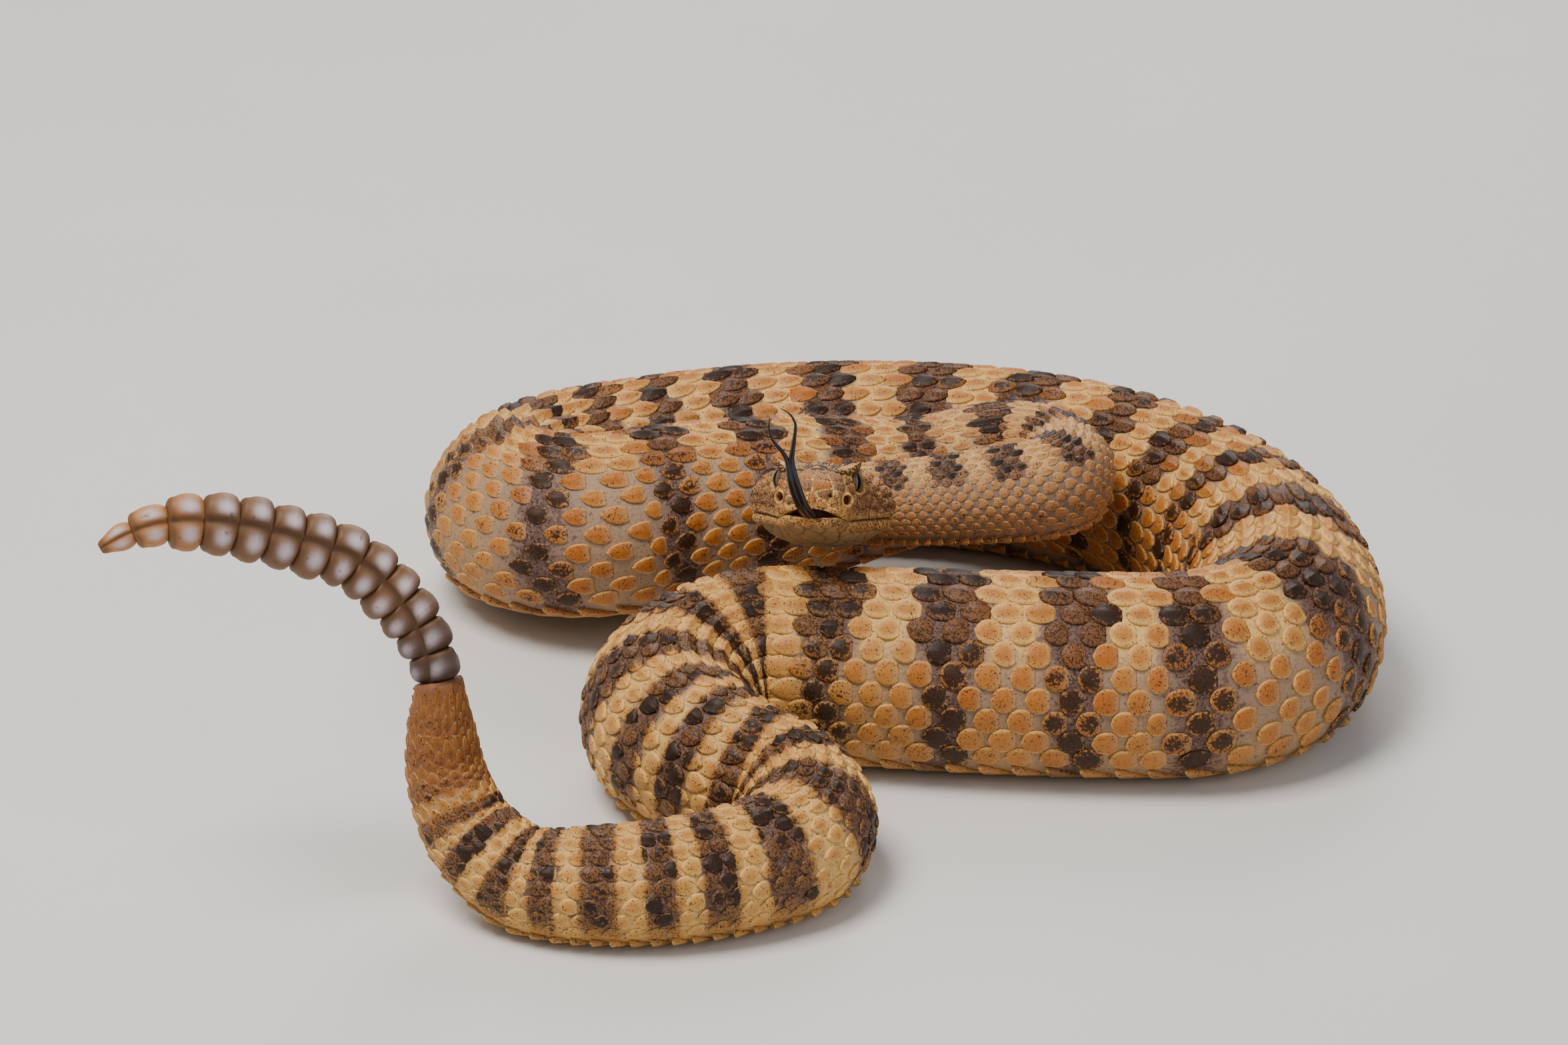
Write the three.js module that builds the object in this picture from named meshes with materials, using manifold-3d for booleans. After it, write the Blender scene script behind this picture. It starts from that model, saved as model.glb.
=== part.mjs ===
// Tiger rattlesnake resting in loose bends, its head turned across its own body and its rattle held up.
// A still, life-size museum model in millimetres, +Z up, with its belly on the floor at z = 0.
// The body is one line from head to rattle, swept with the section of a snake and parted into lengths.
import * as THREE from 'three';
import { mergeVertices } from 'three/addons/utils/BufferGeometryUtils.js';
import Module from 'manifold-3d';

const wasm = await Module();
wasm.setup();

// Gaps and fineness
const NODE_GAP = 0.3;
const RING_STEP = 6.5;
const RING_TURN = THREE.MathUtils.degToRad(12);
const BODY_SIDES = 18;
const LINE_STEP = 0.5;

// Head: where the mouth line's middle stands over the neck joint, and which way the snout points
const HEAD_LENGTH = 27;
const HEAD_ORIGIN = new THREE.Vector3(9.54, 8.4, 32.3);
const HEAD_PITCH = THREE.MathUtils.degToRad(21);
const HEAD_YAW = THREE.MathUtils.degToRad(173.5);
const HEAD_SIDES = 36;
const HEAD_RING_STEP = 1.1;
const NECK_DROP = 0.6;

// Outline of the head at stations from the neck joint to the snout, measured from the mouth line:
// half width, top, bottom, height of the widest place, and how square the section is
const HEAD_STATIONS = [
  { at: 0, halfWidth: 6.3, top: 5.6, bottom: -6.6, widest: -0.6, square: 2.0 },
  { at: 3.5, halfWidth: 8.8, top: 6.2, bottom: -6.5, widest: 0.2, square: 2.1 },
  { at: 7.5, halfWidth: 11.2, top: 6.8, bottom: -6.3, widest: 0.8, square: 2.2 },
  { at: 12, halfWidth: 10.1, top: 7.2, bottom: -5.9, widest: 0.9, square: 2.3 },
  { at: 16, halfWidth: 7.9, top: 7.3, bottom: -5.2, widest: 0.9, square: 2.7 },
  { at: 20, halfWidth: 6.4, top: 6.9, bottom: -4.3, widest: 1.0, square: 2.8 },
  { at: 23.5, halfWidth: 5.5, top: 6.1, bottom: -3.4, widest: 1.1, square: 2.8 },
  { at: 25.6, halfWidth: 4.5, top: 5.2, bottom: -2.6, widest: 1.2, square: 2.6 },
  { at: 26.6, halfWidth: 3.4, top: 4.2, bottom: -1.8, widest: 1.3, square: 2.4 },
  { at: 27, halfWidth: 2.0, top: 3.0, bottom: -0.6, widest: 1.3, square: 2.2 },
];

// Raised forms of the head: height, place along the head, angle round the section, and reach
const BROW = { height: 1.2, at: 17.6, angle: 52, reach: 2.6, spread: 15 };
const UPPER_LIP = { height: 0.25, level: 0.9, spread: 0.6 };
const LOWER_LIP = { height: 0.22, level: -1.9, spread: 0.6 };
const CHIN_GROOVE = { depth: 0.35, halfWidth: 0.6, from: 14 };

// Eyes, pits and nostrils, measured in the head's own frame: side, forward, up
const EYE = { radius: 2.2, side: 4.95, at: 17.5, up: 5.0, clearance: 0.3 };
const PIT = { radius: 0.95, side: 5.75, at: 22.0, up: 2.3 };
const NOSTRIL = { radius: 0.6, side: 4.6, at: 25.0, up: 3.7 };

// Mouth: the line of the lips, its corner, and the notch that lets the tongue out
const MOUTH = { droop: 1.0, droopOver: 5, cornerAt: 6, cornerDrop: 0.5, frontOpen: 0.5, openOver: 3 };
const LIP_FADE = 4;
const LIP_STEP = 1.5;
const CUT_MARGIN = 2;
const THROAT_CUT = { at: 4.2, down: -9 };
const TONGUE_NOTCH = { halfWidth: 1.65, halfHeight: 1.0, from: 21.6, up: 0.1 };

// Tongue: flat stem, then two tines, as routes of side, forward, up in the head's frame
const TONGUE_STEM = [
  [0, 22.2, -0.1], [0, 25.2, -0.1], [0.2, 27.9, 0.3], [1.2, 30.6, 2.2], [2.2, 33, 5.4], [2.8, 34.8, 9.2],
];
const TONGUE_TINES = [
  [[2.9, 34.4, 8.4], [3.8, 35.5, 10.1], [5.3, 36.8, 12.1], [5.9, 38.2, 14.0], [5.7, 39.6, 15.8]],
  [
    [2.6, 34.4, 8.4], [2.4, 35.6, 10.4], [2.0, 37.0, 12.6],
    [1.8, 38.6, 15.0], [2.6, 39.7, 16.5], [4.0, 40.3, 17.4],
  ],
];
const TONGUE = { halfWidth: 1.05, halfThick: 0.45, tineRoot: 0.52, tineTip: 0.22, sides: 10 };

// Body line from head to rattle: each stretch has its length, its turn in degrees (left is positive),
// and the height and radius of the body at its far end. One with no height lies on the floor there.
const NECK_RADIUS = 6.3;
const STRETCHES = [
  { name: 'nape', length: 11, turn: -78, height: 29.7, radius: 6.8 },
  { name: 'neck', length: 26, turn: 13, height: 29.3, radius: 8.2 },
  { name: 'neck bend', length: 28, turn: 165, height: 26.7, radius: 9.4 },
  { name: 'middle row', length: 15, turn: 2, height: 23.0, radius: 10.8 },
  { name: 'middle row', length: 21, turn: 4, height: 21.0, radius: 13.8 },
  { name: 'middle row', length: 27, turn: 5, height: 19.4, radius: 15.0 },
  { name: 'left lobe', length: 47, turn: -171, radius: 15.1 },
  { name: 'back row', length: 28, turn: -13, radius: 15.3 },
  { name: 'back row', length: 31, turn: -17, radius: 15.5 },
  { name: 'back row', length: 30, turn: -22, radius: 15.8 },
  { name: 'right bend', length: 37, turn: -36, radius: 16.1 },
  { name: 'right bend', length: 35, turn: -34, radius: 16.2 },
  { name: 'right bend', length: 29, turn: -82, radius: 16.1 },
  { name: 'front row', length: 32, turn: -6, radius: 15.9 },
  { name: 'front row', length: 28, turn: -5, radius: 15.2 },
  { name: 'first fold', length: 38, turn: 138, radius: 13.2 },
  { name: 'between folds', length: 17, turn: 24, radius: 11.7 },
  { name: 'second fold', length: 25, turn: -117, radius: 10.0 },
  { name: 'tail root', length: 26, turn: -36, radius: 9.0 },
  { name: 'tail', length: 11, turn: -19, radius: 8.2 },
  { name: 'tail lift', length: 11, turn: -17, height: 11.5, radius: 7.4 },
  { name: 'tail lift', length: 9, turn: -14, height: 18.0, radius: 6.6 },
  { name: 'tail lift', length: 10, turn: -10, height: 27.5, radius: 5.4 },
  { name: 'tail end', length: 8, turn: 5, height: 35.5, radius: 4.0 },
  { name: 'rattle rise', length: 12, turn: 38, height: 45.5, radius: 4.8 },
  { name: 'rattle rise', length: 14, turn: 28, height: 54.5, radius: 5.1 },
  { name: 'rattle arch', length: 26, turn: 6, height: 61.5, radius: 5.2 },
  { name: 'rattle droop', length: 18, turn: 3, height: 55.5, radius: 4.2 },
];
const RATTLE_START = 580;

// Where each node of the body ends, as a length along the line from the neck joint
const LENGTHS = [
  { node: 'neck', end: 32 },
  { node: 'body_1', end: 72 },
  { node: 'body_2', end: 122 },
  { node: 'body_3', end: 181 },
  { node: 'body_4', end: 240 },
  { node: 'body_5', end: 293 },
  { node: 'body_6', end: 342 },
  { node: 'body_7', end: 382 },
  { node: 'body_8', end: 419 },
  { node: 'body_9', end: 471 },
  { node: 'body_10', end: 512 },
  { node: 'body_11', end: 536 },
  { node: 'tail', end: RATTLE_START },
];

// Section of the body, as parts of its radius
const BACK_HEIGHT = 0.98;
const BACK_TAPER = 0.06;
const SPINE_RIDGE = 0.05;
const SPINE_SPREAD = 0.3;
const BELLY_SQUARE = 0.85;
const BELLY_FLAT = 0.92;
const FLOOR_SINK = 0.05;

// Rattle: segments from the tail outward, each a two-lobed bead with its root inside the one before
const RATTLE = {
  pitch: 5.0,
  segments: 10,
  tipPitch: 0.95,
  sides: 14,
  halfHeight: 5.2,
  halfThick: 3.5,
  grooveDepth: 0.14,
  grooveWidth: 0.3,
};
const RATTLE_BEAD = [
  { at: -0.3, size: 0.6 },
  { at: 0.02, size: 0.8 },
  { at: 0.22, size: 0.98 },
  { at: 0.6, size: 1.0 },
  { at: 0.9, size: 0.86 },
  { at: 1.06, size: 0.66 },
];
const RATTLE_TIP_SIZES = [0.87, 0.64, 0.43];

// Colours from the photograph, with roughness
const SKIN = { color: 0xc08a52, roughness: 0.6 };
const HEAD_SKIN = { color: 0xb98a55, roughness: 0.55 };
const CHIN_SKIN = { color: 0xc9b27e, roughness: 0.6 };
const EYE_COLOUR = { color: 0x4a4038, roughness: 0.1 };
const TONGUE_COLOUR = { color: 0x15161c, roughness: 0.3 };
const RATTLE_COLOUR = { color: 0xa58a70, roughness: 0.5 };

// Smooth curve through (x, y) knots that never overshoots, with an optional slope at its start
function smoothThrough(xs, ys, startSlope) {
  const count = xs.length;
  const rise = [];
  for (let i = 0; i < count - 1; i += 1) rise.push((ys[i + 1] - ys[i]) / (xs[i + 1] - xs[i]));
  const slopes = [startSlope ?? rise[0]];
  for (let i = 1; i < count - 1; i += 1) {
    const before = rise[i - 1];
    const after = rise[i];
    slopes.push(before * after > 0 ? (2 * before * after) / (before + after) : 0);
  }
  slopes.push(rise[count - 2]);
  return (x) => {
    let i = 0;
    while (i < count - 2 && x > xs[i + 1]) i += 1;
    const span = xs[i + 1] - xs[i];
    const t = THREE.MathUtils.clamp((x - xs[i]) / span, 0, 1);
    const t2 = t * t;
    const t3 = t2 * t;
    return (2 * t3 - 3 * t2 + 1) * ys[i] + (t3 - 2 * t2 + t) * span * slopes[i]
      + (3 * t2 - 2 * t3) * ys[i + 1] + (t3 - t2) * span * slopes[i + 1];
  };
}

function bump(distance, reach) {
  return Math.exp(-((distance / reach) ** 2));
}

// Closed mesh from rings of points, each ring with the same number of points, and a fan over each end
function loft(rings) {
  const sides = rings[0].length;
  const positions = [];
  const faces = [];
  rings.forEach((ring) => ring.forEach((p) => positions.push(p.x, p.y, p.z)));
  for (let i = 0; i < rings.length - 1; i += 1) {
    for (let j = 0; j < sides; j += 1) {
      const a = i * sides + j;
      const b = i * sides + ((j + 1) % sides);
      faces.push(a, b, b + sides, a, b + sides, a + sides);
    }
  }
  const ends = [[0, true], [(rings.length - 1) * sides, false]];
  ends.forEach(([first, flip]) => {
    const middle = new THREE.Vector3();
    const ring = rings[first / sides];
    ring.forEach((p) => middle.addScaledVector(p, 1 / sides));
    const hub = positions.length / 3;
    positions.push(middle.x, middle.y, middle.z);
    for (let j = 0; j < sides; j += 1) {
      const a = first + j;
      const b = first + ((j + 1) % sides);
      if (flip) faces.push(hub, b, a);
      else faces.push(hub, a, b);
    }
  });
  const geometry = new THREE.BufferGeometry();
  geometry.setAttribute('position', new THREE.Float32BufferAttribute(positions, 3));
  geometry.setIndex(faces);
  return geometry;
}

function solidOf(geometry) {
  const plain = geometry.clone();
  plain.deleteAttribute('normal');
  plain.deleteAttribute('uv');
  const merged = mergeVertices(plain);
  return new wasm.Manifold(new wasm.Mesh({
    numProp: 3,
    vertProperties: new Float32Array(merged.attributes.position.array),
    triVerts: new Uint32Array(merged.index.array),
  }));
}

function geometryOf(solid) {
  const mesh = solid.getMesh();
  const geometry = new THREE.BufferGeometry();
  geometry.setAttribute('position', new THREE.Float32BufferAttribute(mesh.vertProperties, 3));
  geometry.setIndex(Array.from(mesh.triVerts));
  return geometry;
}

// The largest closed surface of a solid, so that no scrap of a cut stays
function largestOf(solid) {
  const pieces = solid.decompose();
  return pieces.reduce((best, piece) => (piece.volume() > best.volume() ? piece : best));
}

function makeMesh(name, geometry, look) {
  const material = new THREE.MeshStandardMaterial({ color: look.color, roughness: look.roughness, metalness: 0 });
  geometry.computeVertexNormals();
  const mesh = new THREE.Mesh(geometry, material);
  mesh.name = name;
  return mesh;
}

// Frame that the head's pieces share: x to its right side, y forward to the snout, z up from the mouth line
const headFrame = new THREE.Group();
headFrame.position.copy(HEAD_ORIGIN);
headFrame.rotation.set(HEAD_PITCH, 0, HEAD_YAW, 'ZXY');
headFrame.updateMatrixWorld(true);

// The body line, stepped out from the neck joint
function makeBodyLine() {
  const ends = [0];
  const turns = [HEAD_YAW - Math.PI / 2];
  STRETCHES.forEach((stretch) => {
    ends.push(ends.at(-1) + stretch.length);
    turns.push(turns.at(-1) + THREE.MathUtils.degToRad(stretch.turn));
  });
  const start = headFrame.localToWorld(new THREE.Vector3(0, 0, -NECK_DROP));
  const heightOf = (stretch) => stretch.height ?? BELLY_FLAT * stretch.radius - FLOOR_SINK;
  const heights = smoothThrough(ends, [start.z, ...STRETCHES.map(heightOf)], -Math.sin(HEAD_PITCH));
  const radii = smoothThrough(ends, [NECK_RADIUS, ...STRETCHES.map((s) => s.radius)], 0);
  const headingAt = (s) => {
    let i = 0;
    while (i < STRETCHES.length - 1 && s > ends[i + 1]) i += 1;
    return THREE.MathUtils.lerp(turns[i], turns[i + 1], (s - ends[i]) / (ends[i + 1] - ends[i]));
  };
  const climbAt = (s) => (heights(s + LINE_STEP / 4) - heights(s - LINE_STEP / 4)) / (LINE_STEP / 2);
  const total = ends.at(-1);
  const flat = [new THREE.Vector2(start.x, start.y)];
  for (let s = 0; s < total; s += LINE_STEP) {
    const middle = s + LINE_STEP / 2;
    const run = LINE_STEP * Math.sqrt(Math.max(0, 1 - climbAt(middle) ** 2));
    const heading = headingAt(middle);
    const last = flat.at(-1);
    flat.push(new THREE.Vector2(last.x + run * Math.cos(heading), last.y + run * Math.sin(heading)));
  }
  const at = (s) => {
    const step = THREE.MathUtils.clamp(Math.floor(s / LINE_STEP), 0, flat.length - 2);
    const place = flat[step].clone().lerp(flat[step + 1], s / LINE_STEP - step);
    const heading = headingAt(s);
    const climb = s < LINE_STEP ? -HEAD_PITCH : Math.asin(THREE.MathUtils.clamp(climbAt(s), -1, 1));
    const along = new THREE.Vector3(
      Math.cos(climb) * Math.cos(heading),
      Math.cos(climb) * Math.sin(heading),
      Math.sin(climb),
    );
    const left = new THREE.Vector3(-Math.sin(heading), Math.cos(heading), 0);
    return {
      point: new THREE.Vector3(place.x, place.y, heights(s)),
      along,
      left,
      up: new THREE.Vector3().crossVectors(along, left),
      radius: radii(s),
      heading,
    };
  };
  return { at, total };
}

const bodyLine = makeBodyLine();

// One ring of the body: a low ridge along the spine, and a broad belly that the floor flattens
function bodyRing(s, shift = 0) {
  const frame = bodyLine.at(s);
  const ring = [];
  for (let i = 0; i < BODY_SIDES; i += 1) {
    const angle = Math.PI / 2 + (2 * Math.PI * i) / BODY_SIDES;
    const across = Math.cos(angle);
    const rise = Math.sin(angle);
    const side = across * (1 - BACK_TAPER * Math.max(0, rise));
    const back = BACK_HEIGHT * rise + SPINE_RIDGE * bump(angle - Math.PI / 2, SPINE_SPREAD);
    const up = rise > 0 ? back : -Math.min(BELLY_FLAT, Math.abs(rise) ** BELLY_SQUARE);
    const point = frame.point.clone()
      .addScaledVector(frame.left, frame.radius * side)
      .addScaledVector(frame.up, frame.radius * up)
      .addScaledVector(frame.along, shift);
    point.z = Math.max(0, point.z);
    ring.push(point);
  }
  return ring;
}

function bodyLength(start, end) {
  const rings = [bodyRing(start, NODE_GAP / 2)];
  let s = start;
  while (end - s > RING_STEP / 3) {
    const turn = Math.abs(bodyLine.at(s + 1).heading - bodyLine.at(s).heading);
    const step = Math.min(RING_STEP, RING_TURN / Math.max(turn, 0.001));
    s += step;
    if (end - s > RING_STEP / 3) rings.push(bodyRing(s));
  }
  rings.push(bodyRing(end, -NODE_GAP / 2));
  return loft(rings);
}

// Head, measured in its own frame
const stationAts = HEAD_STATIONS.map((station) => station.at);
const headOutline = {};
['halfWidth', 'top', 'bottom', 'widest', 'square'].forEach((key) => {
  headOutline[key] = smoothThrough(stationAts, HEAD_STATIONS.map((station) => station[key]));
});

function headPoint(at, angle) {
  const width = headOutline.halfWidth(at);
  const widest = headOutline.widest(at);
  const power = 2 / headOutline.square(at);
  const across = Math.sign(Math.cos(angle)) * Math.abs(Math.cos(angle)) ** power;
  const rise = Math.abs(Math.sin(angle)) ** power;
  const point = new THREE.Vector3(width * across, at, widest);
  if (Math.sin(angle) > 0) point.z += rise * (headOutline.top(at) - widest);
  else point.z -= rise * (widest - headOutline.bottom(at));
  const outward = Math.sign(across);
  const degrees = THREE.MathUtils.radToDeg(Math.asin(Math.abs(Math.sin(angle)))) * Math.sign(Math.sin(angle));
  const brow = BROW.height * bump(at - BROW.at, BROW.reach) * bump(degrees - BROW.angle, BROW.spread);
  point.x += 0.6 * brow * outward;
  point.z += 0.8 * brow;
  const jawPart = THREE.MathUtils.smoothstep(at, MOUTH.cornerAt, MOUTH.cornerAt + LIP_FADE);
  const lips = UPPER_LIP.height * bump(point.z - UPPER_LIP.level, UPPER_LIP.spread)
    + LOWER_LIP.height * bump(point.z - LOWER_LIP.level, LOWER_LIP.spread);
  point.x += lips * jawPart * outward;
  if (Math.sin(angle) < 0) {
    const groove = CHIN_GROOVE.depth * bump(point.x, CHIN_GROOVE.halfWidth);
    point.z += groove * THREE.MathUtils.smoothstep(at, CHIN_GROOVE.from, CHIN_GROOVE.from + LIP_FADE);
  }
  return point;
}

function wholeHead() {
  const rings = [];
  const count = Math.round(HEAD_LENGTH / HEAD_RING_STEP);
  const ringAts = Array.from({ length: count + 1 }, (_, i) => (HEAD_LENGTH * i) / count);
  ringAts[0] = NODE_GAP / 2;
  ringAts.forEach((at) => {
    const ring = [];
    for (let i = 0; i < HEAD_SIDES; i += 1) ring.push(headPoint(at, (-2 * Math.PI * i) / HEAD_SIDES));
    rings.push(ring);
  });
  return solidOf(loft(rings));
}

// Line of the mouth from the snout to its corner, as height over its own middle
function mouthHeight(at) {
  const behindSnout = HEAD_LENGTH - at;
  const droop = MOUTH.droop * THREE.MathUtils.smoothstep(behindSnout, 0, MOUTH.droopOver);
  const raised = THREE.MathUtils.smoothstep(at, MOUTH.cornerAt, MOUTH.cornerAt + LIP_FADE);
  return -droop - MOUTH.cornerDrop * (1 - raised);
}

// Block that holds the lower jaw: its side outline run across the whole head. The gap lowers its lip
function jawBlock(gap) {
  const front = HEAD_LENGTH + CUT_MARGIN;
  const outline = new THREE.Shape();
  const widening = (at) => (MOUTH.frontOpen / NODE_GAP) * bump(HEAD_LENGTH - at, MOUTH.openOver);
  const lipAt = (at) => mouthHeight(at) - gap * (1 + widening(at));
  outline.moveTo(front, lipAt(front));
  for (let at = HEAD_LENGTH; at > MOUTH.cornerAt; at -= LIP_STEP) outline.lineTo(at, lipAt(at));
  outline.lineTo(MOUTH.cornerAt + gap, lipAt(MOUTH.cornerAt));
  outline.lineTo(THROAT_CUT.at + gap, THROAT_CUT.down);
  outline.lineTo(front, THROAT_CUT.down);
  outline.closePath();
  const reach = 2 * HEAD_STATIONS[2].halfWidth;
  const block = new THREE.ExtrudeGeometry(outline, { depth: 2 * reach, bevelEnabled: false, steps: 1 });
  block.translate(0, 0, -reach);
  block.rotateX(Math.PI / 2);
  block.rotateZ(Math.PI / 2);
  return solidOf(block);
}

function ball(radius, side, at, up) {
  const sphere = new THREE.SphereGeometry(radius, 16, 12);
  sphere.translate(side, at, up);
  return solidOf(sphere);
}

function tongueNotch() {
  const front = HEAD_LENGTH + CUT_MARGIN;
  const tunnel = new THREE.CylinderGeometry(1, 1, front - TONGUE_NOTCH.from, 16);
  tunnel.scale(TONGUE_NOTCH.halfWidth, 1, TONGUE_NOTCH.halfHeight);
  tunnel.translate(0, (front + TONGUE_NOTCH.from) / 2, TONGUE_NOTCH.up);
  return solidOf(tunnel);
}

function headPieces() {
  const whole = wholeHead();
  let upper = whole.subtract(jawBlock(0)).subtract(tongueNotch());
  [-1, 1].forEach((side) => {
    upper = upper.subtract(ball(EYE.radius + EYE.clearance, side * EYE.side, EYE.at, EYE.up));
    upper = upper.subtract(ball(PIT.radius, side * PIT.side, PIT.at, PIT.up));
    upper = upper.subtract(ball(NOSTRIL.radius, side * NOSTRIL.side, NOSTRIL.at, NOSTRIL.up));
  });
  const jaw = whole.intersect(jawBlock(NODE_GAP)).subtract(tongueNotch());
  return { upper: geometryOf(largestOf(upper)), jaw: geometryOf(largestOf(jaw)) };
}

// Flat or round tube along a route, its half width and half thickness given from root to tip
function tube(route, sides, sizeAt, steps) {
  const curve = new THREE.CatmullRomCurve3(route.map((p) => new THREE.Vector3(...p)));
  const rings = [];
  for (let i = 0; i <= steps; i += 1) {
    const t = i / steps;
    const along = curve.getTangentAt(t);
    const across = new THREE.Vector3(1, 0, 0).addScaledVector(along, -along.x).normalize();
    const up = new THREE.Vector3().crossVectors(across, along);
    const size = sizeAt(t);
    const ring = [];
    for (let j = 0; j < sides; j += 1) {
      const angle = (-2 * Math.PI * j) / sides;
      ring.push(curve.getPointAt(t)
        .addScaledVector(across, size.wide * Math.cos(angle))
        .addScaledVector(up, size.thick * Math.sin(angle)));
    }
    rings.push(ring);
  }
  return solidOf(loft(rings));
}

function tongueGeometry() {
  const stem = tube(TONGUE_STEM, TONGUE.sides, () => ({ wide: TONGUE.halfWidth, thick: TONGUE.halfThick }), 12);
  const tine = (t) => {
    const size = THREE.MathUtils.lerp(TONGUE.tineRoot, TONGUE.tineTip, t);
    return { wide: size, thick: size };
  };
  const tongue = TONGUE_TINES.reduce((body, route) => body.add(tube(route, TONGUE.sides - 2, tine, 9)), stem);
  return geometryOf(largestOf(tongue));
}

// One ring of a rattle segment: taller than thick, with a groove along each side between its two lobes
function rattleRing(s, size, shift = 0) {
  const frame = bodyLine.at(s);
  const ring = [];
  for (let i = 0; i < RATTLE.sides; i += 1) {
    const angle = Math.PI / 2 + (2 * Math.PI * i) / RATTLE.sides;
    const groove = 1 - RATTLE.grooveDepth * bump(Math.sin(angle), RATTLE.grooveWidth);
    ring.push(frame.point.clone()
      .addScaledVector(frame.left, RATTLE.halfThick * size * Math.cos(angle) * groove)
      .addScaledVector(frame.up, RATTLE.halfHeight * size * Math.sin(angle))
      .addScaledVector(frame.along, shift));
  }
  return ring;
}

function rattleGeometry() {
  const sizes = Array.from({ length: RATTLE.segments }, (_, i) => {
    const swell = THREE.MathUtils.smoothstep(i, -2, 3);
    return 0.9 + 0.1 * swell - 0.06 * THREE.MathUtils.smoothstep(i, 8, RATTLE.segments);
  }).concat(RATTLE_TIP_SIZES);
  let rattle = null;
  sizes.forEach((size, i) => {
    const start = RATTLE_START + i * RATTLE.pitch * (i < RATTLE.segments ? 1 : RATTLE.tipPitch);
    const bead = i === 0 ? RATTLE_BEAD.slice(1) : RATTLE_BEAD;
    const rings = bead.map((place, k) => {
      const first = i === 0 && k === 0;
      const s = first ? RATTLE_START : start + place.at * RATTLE.pitch;
      return rattleRing(s, size * place.size, first ? NODE_GAP / 2 : 0);
    });
    const segment = solidOf(loft(rings));
    rattle = rattle ? rattle.add(segment) : segment;
  });
  return geometryOf(largestOf(rattle));
}

function buildHead(parent) {
  const pieces = headPieces();
  headFrame.add(makeMesh('head', pieces.upper, HEAD_SKIN));
  headFrame.add(makeMesh('lower_jaw', pieces.jaw, CHIN_SKIN));
  [['eye_right', 1], ['eye_left', -1]].forEach(([name, side]) => {
    const eye = makeMesh(name, geometryOf(ball(EYE.radius, 0, 0, 0)), EYE_COLOUR);
    eye.position.set(side * EYE.side, EYE.at, EYE.up);
    headFrame.add(eye);
  });
  headFrame.add(makeMesh('tongue', tongueGeometry(), TONGUE_COLOUR));
  parent.add(headFrame);
}

function buildBody(parent) {
  let start = 0;
  LENGTHS.forEach(({ node, end }) => {
    parent.add(makeMesh(node, bodyLength(start, end), SKIN));
    start = end;
  });
  parent.add(makeMesh('rattle', rattleGeometry(), RATTLE_COLOUR));
}

const snake = new THREE.Group();
buildHead(snake);
buildBody(snake);

export default snake;
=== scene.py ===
"""Tiger rattlesnake resting in loose bends: one skin, its scales, belly scutes, eyes, tongue and rattle.

Lengths are millimetres in the tables and metres in the meshes. The line and sections repeat the CAD model's.
"""
import math

import bmesh
import bpy
import numpy as np
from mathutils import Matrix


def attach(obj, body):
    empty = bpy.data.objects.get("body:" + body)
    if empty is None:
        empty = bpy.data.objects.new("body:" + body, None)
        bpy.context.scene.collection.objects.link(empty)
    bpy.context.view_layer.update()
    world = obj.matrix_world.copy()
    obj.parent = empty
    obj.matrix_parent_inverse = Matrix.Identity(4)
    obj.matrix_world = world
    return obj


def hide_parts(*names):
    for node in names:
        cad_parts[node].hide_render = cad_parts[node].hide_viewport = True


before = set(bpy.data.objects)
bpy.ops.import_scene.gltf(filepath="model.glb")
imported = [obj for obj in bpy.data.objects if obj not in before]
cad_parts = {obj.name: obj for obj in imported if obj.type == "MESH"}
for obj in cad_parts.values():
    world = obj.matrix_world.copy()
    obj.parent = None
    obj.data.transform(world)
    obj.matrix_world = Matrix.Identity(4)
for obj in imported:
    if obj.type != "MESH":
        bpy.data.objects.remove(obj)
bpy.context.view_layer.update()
rng = np.random.default_rng(11)
MM = 0.001

# Body line from head to rattle: length, turn in degrees, height (None lies on the floor), radius at its end
NECK_RADIUS = 6.3
NECK_DROP = 0.6
HEAD_ORIGIN = np.array([9.54, 8.4, 32.3])
HEAD_PITCH = math.radians(21)
HEAD_YAW = math.radians(173.5)
STRETCHES = [
    (11, -78, 29.7, 6.8), (26, 13, 29.3, 8.2), (28, 165, 26.7, 9.4), (15, 2, 23.0, 10.8),
    (21, 4, 21.0, 13.8), (27, 5, 19.4, 15.0), (47, -171, None, 15.1), (28, -13, None, 15.3),
    (31, -17, None, 15.5), (30, -22, None, 15.8), (37, -36, None, 16.1), (35, -34, None, 16.2),
    (29, -82, None, 16.1), (32, -6, None, 15.9), (28, -5, None, 15.2), (38, 138, None, 13.2),
    (17, 24, None, 11.7), (25, -117, None, 10.0), (26, -36, None, 9.0), (11, -19, None, 8.2),
    (11, -17, 11.5, 7.4), (9, -14, 18.0, 6.6), (10, -10, 27.5, 5.4), (8, 5, 35.5, 4.0),
    (12, 38, 45.5, 4.8), (14, 28, 54.5, 5.1), (26, 6, 61.5, 5.2), (18, 3, 55.5, 4.2),
]
RATTLE_START = 580.0
LINE_STEP = 0.5

# Section of the body as parts of its radius
BACK_HEIGHT = 0.98
BACK_TAPER = 0.06
SPINE_RIDGE = 0.05
SPINE_SPREAD = 0.3
BELLY_SQUARE = 0.85
BELLY_FLAT = 0.92
FLOOR_SINK = 0.05

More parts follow.
